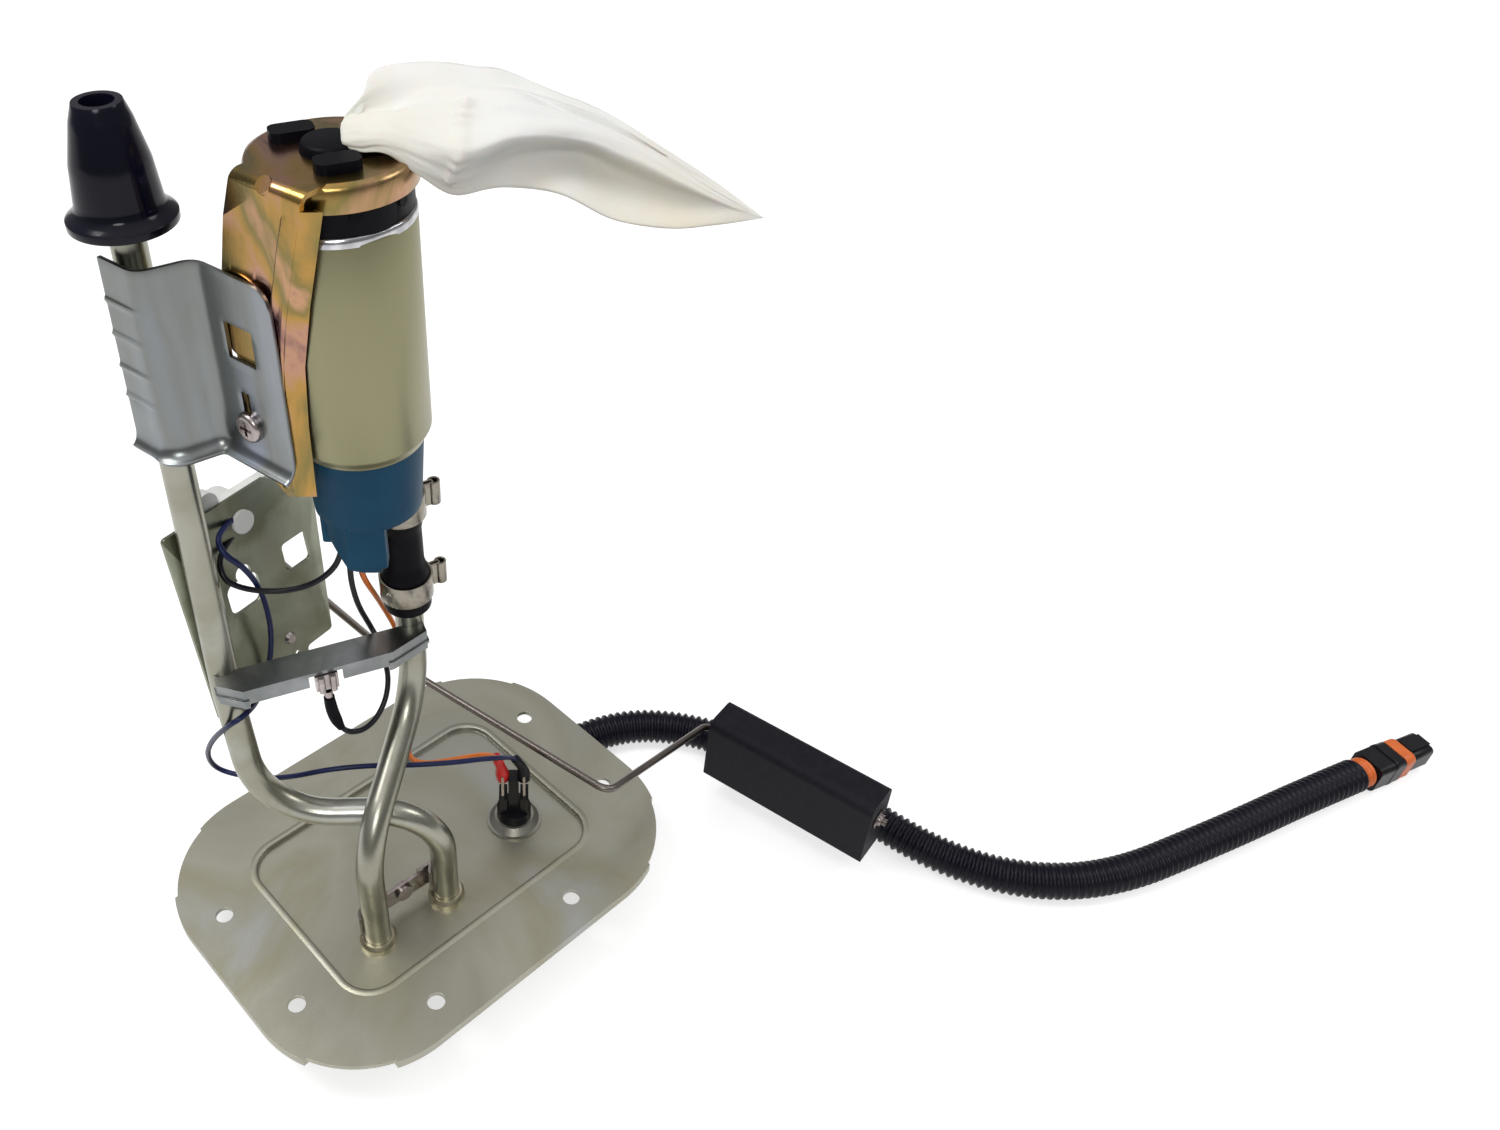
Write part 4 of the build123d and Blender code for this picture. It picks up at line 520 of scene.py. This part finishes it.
leadRadius = 0.0008
leads = {
    "blueLead": {"finish": blueWire, "slot": "blue_plastic", "points": [
        (30.6, -10.9, 27.6), (28.6, -11.6, 31.6), (22.4, -13.2, 37.4), (15.9, -11.8, 40.6), (9.0, -8.4, 41.5),
        (-2.3, -1.1, 42.6), (-12.6, 4.1, 46.1), (-23.1, 10.6, 46.8), (-31.5, 18.2, 43.1), (-37.0, 25.6, 40.3),
        (-40.9, 33.2, 37.9), (-45.2, 38.3, 39.9), (-48.4, 34.4, 51.9), (-48.7, 26.7, 65.3), (-47.4, 16.2, 79.0),
        (-43.3, 13.9, 81.8), (-36.9, 18.9, 78.3), (-29.8, 27.3, 73.9), (-27.0, 26.2, 82.8), (-26.2, 24.1, 93.1),
        (-25.9, 23.9, 102.1), (-27.2, 23.7, 112.4), (-30.5, 23.9, 121.1), (-34.0, 25.8, 125.6),
        (-33.6, 29.4, 128.4), (-28.6, 33.2, 128.0), (-24.0, 36.0, 127.0)]},
    "darkLead": {"finish": blackWire, "slot": "black_plastic", "points": [
        (-10.6, 7.6, 126.4), (-11.3, 8.3, 122.4), (-13.4, 10.1, 118.2), (-16.4, 12.8, 114.7), (-19.7, 15.7, 112.6),
        (-23.8, 19.3, 111.5), (-28.5, 22.2, 112.5), (-32.7, 24.6, 114.8), (-35.4, 26.2, 118.0),
        (-34.0, 30.0, 121.4), (-28.6, 33.6, 122.4), (-24.0, 36.2, 122.4)]},
    "blackLead": {"finish": blackWire, "slot": "black_plastic", "points": [
        (-9.6, 5.8, 126.0), (-9.5, 6.6, 120.2), (-9.0, 7.6, 112.7), (-7.2, 8.6, 103.3), (-4.3, 8.7, 94.5),
        (-2.2, 8.2, 86.9), (-1.9, 6.6, 80.0), (-3.3, 3.8, 75.7), (-6.7, 1.5, 71.2), (-11.4, 0.3, 67.9),
        (-15.9, 0.3, 67.0), (-20.0, 1.3, 68.6), (-21.8, 2.6, 72.4), (-22.3, 3.8, 77.0), (-22.4, 4.2, 82.5)]},
    "orangeLead": {"finish": orangeWire, "slot": "orange_rubber", "points": [
        (-6.8, 5.6, 122.6), (-6.4, 6.6, 117.1), (-5.1, 6.7, 112.1), (-1.6, 9.6, 104.7), (3.3, 13.6, 94.1),
        (8.1, 14.8, 80.8), (9.5, 13.5, 68.5), (8.2, 10.7, 59.0), (4.8, 8.0, 50.1), (1.0, 4.6, 44.5),
        (-0.2, 1.4, 41.2), (2.6, -1.9, 40.2), (7.8, -4.6, 39.6), (14.5, -6.2, 37.6), (20.7, -6.4, 34.2),
        (24.6, -6.4, 31.0), (26.0, -6.6, 28.6)]},
}


def makeLead(name, spec):
    line = curveLine(name, spec["points"])
    drawn = readLine(line)
    line.data.bevel_depth = leadRadius
    line.data.bevel_resolution = 3
    line.data.use_fill_caps = True
    line.data.materials.append(finishMaterial(name + "Skin", spec["finish"]))
    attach(line, "module")


sleeveStep = 0.0005


def bentSleeve(name, stations, finish, sides=24):
    # Stations: place in mm and radius in mm
    line = curveLine(name + "Line", [station[:3] for station in stations])
    points = evenPoints(readLine(line), sleeveStep)
    bpy.data.objects.remove(line)
    last = len(points) - 1
    radii = [station[3] * mm for station in stations]
    shape = lambda k: smoothStep(radii, (len(radii) - 1) * k / last)
    piece = tubeAlong(name, points, shape, sides)
    piece.data.materials.append(finishMaterial(name + "Skin", finish))
    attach(piece, "module")
    return piece


sleeves = {
    "redBoot": {"finish": redPlastic, "slot": "red_plastic", "replaces": "red_sleeve", "stations": [
        (27.55, -7.95, 18.6, 2.0), (27.5, -7.9, 21.0, 2.2), (27.3, -7.8, 23.0, 1.7), (27.0, -7.5, 25.4, 1.6),
        (26.0, -6.6, 29.4, 1.55)]},
    "blackBoot": {"finish": blackPlastic, "slot": "black_plastic", "replaces": "black_sleeve", "stations": [
        (32.6, -12.45, 18.6, 2.0), (32.6, -12.4, 21.0, 2.1), (32.4, -12.3, 23.0, 1.6), (32.0, -12.0, 25.2, 1.5),
        (30.4, -10.8, 28.6, 1.4)]},
    "heatShrink": {"finish": blackRubber, "slot": "black_rubber", "stations": [
        (-21.2, 2.2, 70.8, 1.1), (-21.9, 2.9, 73.4, 1.6), (-22.3, 3.8, 77.0, 1.7), (-22.4, 4.2, 80.6, 1.65),
        (-22.4, 4.2, 82.6, 1.5)]},
}
for name, spec in sleeves.items():
    bentSleeve(name, spec["stations"], spec["finish"])
    if "replaces" in spec:
        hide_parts(spec["replaces"])
for name, spec in leads.items():
    makeLead(name, spec)
print("leads made")


# Details on the pump that its solids leave out

def lathe(name, spec, centre):
    # The profile holds (radius, height) in mm round a vertical axis
    points, faces = [], []
    sides, profile = spec["sides"], spec["profile"]
    lumps, lumpHeight, lift = 2.2, 0.15, 0.6
    for r, z in profile:
        for k in range(sides):
            angle = 2 * math.pi * k / sides
            c, s = math.cos(angle), math.sin(angle)
            push = spec["dent"] * noise.noise(Vector((c * lumps, s * lumps, z * lumpHeight)))
            points.append(((centre[0] + (r + push) * c) * mm, (centre[1] + (r + push) * s) * mm,
                           (z + lift * push) * mm))
    for row in range(len(profile) - 1):
        for k in range(sides):
            n = (k + 1) % sides
            faces.append((row * sides + k, row * sides + n, (row + 1) * sides + n, (row + 1) * sides + k))
    disc = meshPiece(name, points, faces)
    disc.data.materials.append(finishMaterial(name + "Skin", spec["finish"]))
    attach(disc, "module")


def viewBlock(name, spec):
    # A block that stands out of the end cap along the sock's axes; its foot is cut back by the chamfer
    low, high = spec["height"]
    left, right = spec["along"]
    near, far = spec["back"]
    chamfer, sideShare = spec["chamfer"], 0.4
    corners = []
    for z, cut in ((low, chamfer), (low + chamfer, 0.0), (high, 0.0)):
        inset = sideShare * cut
        for a, b in ((left + inset, near + cut), (right - inset, near + cut), (right - inset, far),
                     (left + inset, far)):
            corners.append(sockPlace((a, b, z)) * mm)
    faces = [(3, 2, 1, 0), (8, 9, 10, 11)]
    for row in (0, 4):
        faces += [(row + k, row + (k + 1) % 4, row + 4 + (k + 1) % 4, row + 4 + k) for k in range(4)]
    block = meshPiece(name, corners, faces, smooth=False)
    bevel = block.modifiers.new("bevel", "BEVEL")
    bevel.width = spec["round"]
    bevel.segments = 3
    block.data.materials.append(finishMaterial(name + "Skin", spec["finish"]))
    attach(block, "module")


blocks = {
    "capRib": {"along": (-4.7, 5.0), "back": (-12.9, -8.0), "height": (127.0, 140.6), "chamfer": 1.2,
               "finish": bluePlastic, "slot": "blue_plastic", "round": 0.0005},
    "capStep": {"along": (-11.4, -8.6), "back": (-7.2, -2.0), "height": (131.0, 145.0), "chamfer": 1.0,
                "finish": bluePlastic, "slot": "blue_plastic", "round": 0.0004},
    "pumpTerminals": {"along": (-3.4, 1.8), "back": (-7.0, -2.0), "height": (120.4, 127.0), "chamfer": 1.2,
                      "finish": blackPlastic, "slot": "black_plastic", "round": 0.0004},
}
discs = {
    "mouthPad": {"finish": blackRubber, "slot": "black_rubber", "sides": 64, "dent": 0.0, "profile": [
        (0.02, 232.3), (4.9, 232.3), (5.7, 232.05), (6.1, 231.4), (6.15, 230.2)]},
    # The rim ring's shape is real; its bright tones are a painted highlight along the rolled rim
    "canRim": {"finish": rimZincPaintedHighlight, "slot": "can", "sides": 160, "dent": 0.45, "profile": [
        (15.6, 217.7), (15.9, 218.35), (16.5, 218.55), (17.0, 218.1), (17.15, 217.2), (17.08, 216.3)]},
}
for name, spec in blocks.items():
    viewBlock(name, spec)
for name, spec in discs.items():
    lathe(name, spec, sock["origin"])
print("pump details made")


# Tube bracket: bent sheet with rounded folds, pressed lines and a rolled lower lip

# The pump, its hanger and this bracket are turned this far about the upright axis
groupTurn = math.radians(10.0)
bracket = {
    "sheet": 0.0010,
    "faceU": -23.1,
    "wingU": -34.9,
    "faceV": (5.4, 28.6),
    "wingV": (33.4, 45.4),
    "foldRadius": 3.2,
    "foldSteps": 8,
    "faceRuns": (5.4, 6.0, 6.8, 7.8, 9.0, 10.4, 12.6, 14.5, 16.9, 18.2, 19.5, 21.4, 23.0),
    "wingRuns": (38.4, 40.2, 42.0, 43.6, 44.8, 45.4),
    "lip": ((158.3, 3.1), (158.45, 2.6), (158.8, 1.9), (159.4, 1.2), (160.2, 0.6), (161.2, 0.2), (162.4, 0.0)),
    "rows": (165.0, 168.0, 171.0, 174.0, 177.0, 180.0, 182.5, 185.2, 187.5, 189.8, 192.1, 194.4, 197.0, 199.5,
             202.0, 204.5, 206.6),
    "ridgeRows": (-1.25, -0.65, 0.0, 0.65, 1.25),
    "low": 160.6,
    "high": 206.6,
    "window": (12.6, 21.4, 185.2, 194.4),
    "slot": (16.9, 19.5, 171.0, 177.0),
    "ridges": (196.6, 188.2, 179.9, 172.2),
    "ridgeRise": 0.5,
    "ridgeHalf": 0.6,
    "ridgeFrom": 34.5,
    "ridgeFade": 3.0,
    "wingFrom": 30.0,
    "wingFade": 6.0,
    "wingLean": 0.9,
    "wingFlare": 0.65,
    "cornerFrom": 197.0,
    "flatTo": 24.0,
    "edgeRound": 0.00025,
    "corner": 5.0,
}


def bracketPath():
    # The sheet's middle line seen from above, as (u, v, run along the sheet)
    corners = [Vector((bracket["faceU"], bracket["faceV"][0])), Vector((bracket["faceU"], bracket["faceV"][1])),
               Vector((bracket["wingU"], bracket["wingV"][0])), Vector((bracket["wingU"], bracket["wingV"][1]))]
    reach, steps = bracket["foldRadius"], bracket["foldSteps"]
    line = [Vector((bracket["faceU"], v)) for v in bracket["faceRuns"]]
    for k in (1, 2):
        into = (corners[k] - corners[k - 1]).normalized()
        out = (corners[k + 1] - corners[k]).normalized()
        for step in range(steps + 1):
            t = step / steps
            line.append((1 - t) ** 2 * (corners[k] - into * reach) + 2 * t * (1 - t) * corners[k]
                        + t * t * (corners[k] + out * reach))
    return line + [Vector((bracket["wingU"], v)) for v in bracket["wingRuns"]]


def bracketHeights():
    # Each row's height, and how far the lip stands out there
    heights = list(bracket["lip"]) + [(z, 0.0) for z in bracket["rows"]]
    for ridge in bracket["ridges"]:
        heights += [(ridge + step, 0.0) for step in bracket["ridgeRows"]]
    return sorted(heights)


def makeBracket():
    path = bracketPath()
    heights = bracketHeights()
    c, s = math.cos(groupTurn), math.sin(groupTurn)
    corner = bracket["corner"]
    holes = (bracket["window"], bracket["slot"])
    points, faces = [], []
    for k, spot in enumerate(path):
        run = (path[min(k + 1, len(path) - 1)] - path[max(k - 1, 0)]).normalized()
        outward = Vector((-run.y, run.x))
        nearEdge = spot.y - bracket["faceV"][0]
        inCorner = max(0.0, corner - nearEdge)
        drop = corner - math.sqrt(max(0.0, corner ** 2 - inCorner ** 2))
        onWing = min(1.0, max(0.0, (spot.y - bracket["ridgeFrom"]) / bracket["ridgeFade"]))
        pastFold = min(1.0, max(0.0, (spot.y - bracket["wingFrom"]) / bracket["wingFade"]))
        for z, flare in heights:
            share = (bracket["high"] - z) / (bracket["high"] - bracket["low"])
            push = flare * (1.0 - (1.0 - bracket["wingFlare"]) * onWing)
            push += bracket["wingLean"] * max(0.0, share) * pastFold
            for ridge in bracket["ridges"]:
                push += bracket["ridgeRise"] * onWing * math.exp(-((z - ridge) / bracket["ridgeHalf"]) ** 2)
            place = spot + outward * push
            top = z - drop * max(0.0, (z - bracket["cornerFrom"]) / (bracket["high"] - bracket["cornerFrom"]))
            points.append(Vector((place.x * c - place.y * s, place.x * s + place.y * c, top)) * mm)
    rows = len(heights)
    for k in range(len(path) - 1):
        for r in range(rows - 1):
            v = (path[k].y + path[k + 1].y) / 2
            z = (heights[r][0] + heights[r + 1][0]) / 2
            flat = path[k + 1].y < bracket["flatTo"]
            if flat and any(near < v < far and low < z < high for near, far, low, high in holes):
                continue
            faces.append((k * rows + r, k * rows + r + 1, (k + 1) * rows + r + 1, (k + 1) * rows + r))
    sheet = meshPiece("bracketSheet", points, faces)
    thick = sheet.modifiers.new("thick", "SOLIDIFY")
    thick.thickness = bracket["sheet"]
    thick.offset = 0.0
    soft = sheet.modifiers.new("soft", "BEVEL")
    soft.width = bracket["edgeRound"]
    soft.segments = 2
    soft.limit_method = "ANGLE"
    soft.angle_limit = math.radians(50.0)
    sheet.data.materials.append(finishMaterial("brightZinc", brightZinc))
    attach(sheet, "module")
    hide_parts("tube_bracket")


makeBracket()
print("tube bracket made")


# Raised lip round the plate's panel and rolled edge of the hanger's web

def gridPiece(name, lines, finish, closed=False):
    # lines: rows of points in mm, all of one length
    across = len(lines[0])
    points = [Vector(point) * mm for line in lines for point in line]
    faces = []
    for k in range(len(lines) if closed else len(lines) - 1):
        n = (k + 1) % len(lines)
        for i in range(across - 1):
            faces.append((k * across + i, k * across + i + 1, n * across + i + 1, n * across + i))
    piece = meshPiece(name, points, faces)
    piece.data.materials.append(finishMaterial(name + "Skin", finish))
    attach(piece, "module")
    return piece


# Shapes: distance out from the edge and rise above the face, in mm
panelLip = {"halfX": 46.0, "halfY": 32.2, "corner": 10.0, "steps": 12,
            "shape": ((-0.1, -0.30), (0.0, 0.02), (0.35, 0.16), (0.8, 0.22), (1.3, 0.17), (1.8, 0.06), (2.3, -0.04))}


def makePanelLip():
    lines = []
    for k in range(4):
        sx, sy = ((1, 1), (-1, 1), (-1, -1), (1, -1))[k]
        cx = sx * (panelLip["halfX"] - panelLip["corner"])
        cy = sy * (panelLip["halfY"] - panelLip["corner"])
        for step in range(panelLip["steps"] + 1):
            angle = math.pi / 2 * (k + step / panelLip["steps"])
            lines.append([(cx + (panelLip["corner"] + out) * math.cos(angle),
                           cy + (panelLip["corner"] + out) * math.sin(angle), rise)
                          for out, rise in panelLip["shape"]])
    gridPiece("panelLip", lines, plateZinc, closed=True)


webRoll = {"top": 230.0, "u": -21.2, "lean": 0.018, "steps": 40, "fade": 4,
           "edge": ((-5.0, 224.6), (-2.2, 215.4), (1.2, 204.2), (3.6, 196.0), (5.2, 188.0), (6.1, 180.0),
                    (6.4, 172.0), (6.5, 162.0), (6.6, 153.0)),
           "shape": ((0.02, -0.5), (0.05, 0.10), (0.5, 0.42), (1.1, 0.40), (2.2, 0.22), (3.0, 0.45), (3.6, 0.85),
                     (4.1, 0.90), (4.6, 0.55), (5.1, -0.10))}


def makeWebRoll():
    c, s = math.cos(groupTurn), math.sin(groupTurn)
    edge = [Vector(point) for point in webRoll["edge"]]
    lines = []
    steps = webRoll["steps"]
    for k in range(steps + 1):
        v, z = smoothStep(edge, (len(edge) - 1) * k / steps)
        fade = min(1.0, k / webRoll["fade"], (steps - k) / webRoll["fade"])
        line = []
        for across, rise in webRoll["shape"]:
            u = webRoll["u"] - webRoll["lean"] * (webRoll["top"] - z) - (rise if rise < 0 else rise * fade)
            line.append((u * c - (v + across) * s, u * s + (v + across) * c, z))
        lines.append(line)
    gridPiece("webRoll", lines, yellowChromate)


makePanelLip()
makeWebRoll()
print("lip and rolled edge made")


# Studio: pale floor, soft lamps and a pale room

studio = {
    "floorZ": -0.0221,
    "floorHalf": 3.0,
    "floorTone": (0.5, 0.5, 0.5),
    "floorGlow": 0.62,
    "lampTarget": (0.02, -0.02, 0.09),
}
# Brightness of the room by height: 0 straight down, 0.5 level, 1 overhead
roomLevels = [(0.0, 0.3), (0.5, 0.24), (0.66, 0.32), (0.82, 0.46), (0.92, 0.9), (1.0, 1.15)]
lamps = {
    "keyLamp": {"place": (-0.42, 0.34, 1.15), "size": 0.5, "power": 6.5},
    "frontLamp": {"place": (-0.62, -0.72, 0.95), "size": 0.45, "power": 4.5},
    "sideLamp": {"place": (0.75, -0.5, 0.85), "size": 0.4, "power": 2.0},
}


def makeFloor():
    half = studio["floorHalf"]
    corners = [(-half, -half, studio["floorZ"]), (half, -half, studio["floorZ"]),
               (half, half, studio["floorZ"]), (-half, half, studio["floorZ"])]
    floor = meshPiece("studioFloor", corners, [(0, 1, 2, 3)], smooth=False)
    mat = bpy.data.materials.new("floorPaper")
    mat.use_nodes = True
    paper = mat.node_tree.nodes["Principled BSDF"]
    paper.inputs["Base Color"].default_value = (*studio["floorTone"], 1.0)
    paper.inputs["Roughness"].default_value = 1.0
    paper.inputs["Specular IOR Level"].default_value = 0.0
    paper.inputs["Emission Color"].default_value = (1.0, 1.0, 1.0, 1.0)
    # The glow is what the camera and reflections see; it puts no light on the object
    rays = mat.node_tree.nodes.new("ShaderNodeLightPath")
    seen = rays.outputs["Is Camera Ray"]
    for kind in ("Is Glossy Ray", "Is Transmission Ray"):
        either = mat.node_tree.nodes.new("ShaderNodeMath")
        either.operation = "MAXIMUM"
        mat.node_tree.links.new(seen, either.inputs[0])
        mat.node_tree.links.new(rays.outputs[kind], either.inputs[1])
        seen = either.outputs[0]
    glow = mat.node_tree.nodes.new("ShaderNodeMath")
    glow.operation = "MULTIPLY"
    glow.inputs[1].default_value = studio["floorGlow"]
    mat.node_tree.links.new(seen, glow.inputs[0])
    mat.node_tree.links.new(glow.outputs[0], paper.inputs["Emission Strength"])
    floor.data.materials.append(mat)


def makeRoom():
    world = bpy.data.worlds.new("studioRoom")
    world.use_nodes = True
    tree = world.node_tree
    room = tree.nodes["Background"]
    place = tree.nodes.new("ShaderNodeTexCoord")
    split = tree.nodes.new("ShaderNodeSeparateXYZ")
    ramp = tree.nodes.new("ShaderNodeValToRGB")
    tree.links.new(place.outputs["Generated"], split.inputs["Vector"])
    height = tree.nodes.new("ShaderNodeMapRange")
    height.inputs["From Min"].default_value = -1.0
    tree.links.new(split.outputs["Z"], height.inputs["Value"])
    tree.links.new(height.outputs["Result"], ramp.inputs["Fac"])
    top = max(level for where, level in roomLevels)
    room.inputs["Strength"].default_value = top
    for _ in roomLevels[2:]:
        ramp.color_ramp.elements.new(0.7)
    for stop, (where, level) in zip(ramp.color_ramp.elements, roomLevels):
        stop.position = where
        stop.color = (level / top, level / top, level / top, 1.0)
    tree.links.new(ramp.outputs["Color"], room.inputs["Color"])
    bpy.context.scene.world = world


def makeLamps():
    target = Vector(studio["lampTarget"])
    for name, spec in lamps.items():
        data = bpy.data.lights.new(name, "AREA")
        data.shape = "DISK"
        data.size = spec["size"]
        data.energy = spec["power"]
        lamp = linkPiece(name, data)
        lamp.location = spec["place"]
        lamp.rotation_euler = (target - lamp.location).to_track_quat("-Z", "Y").to_euler()


makeFloor()
makeRoom()
makeLamps()
bpy.context.scene.view_settings.view_transform = "Standard"
print("studio made")
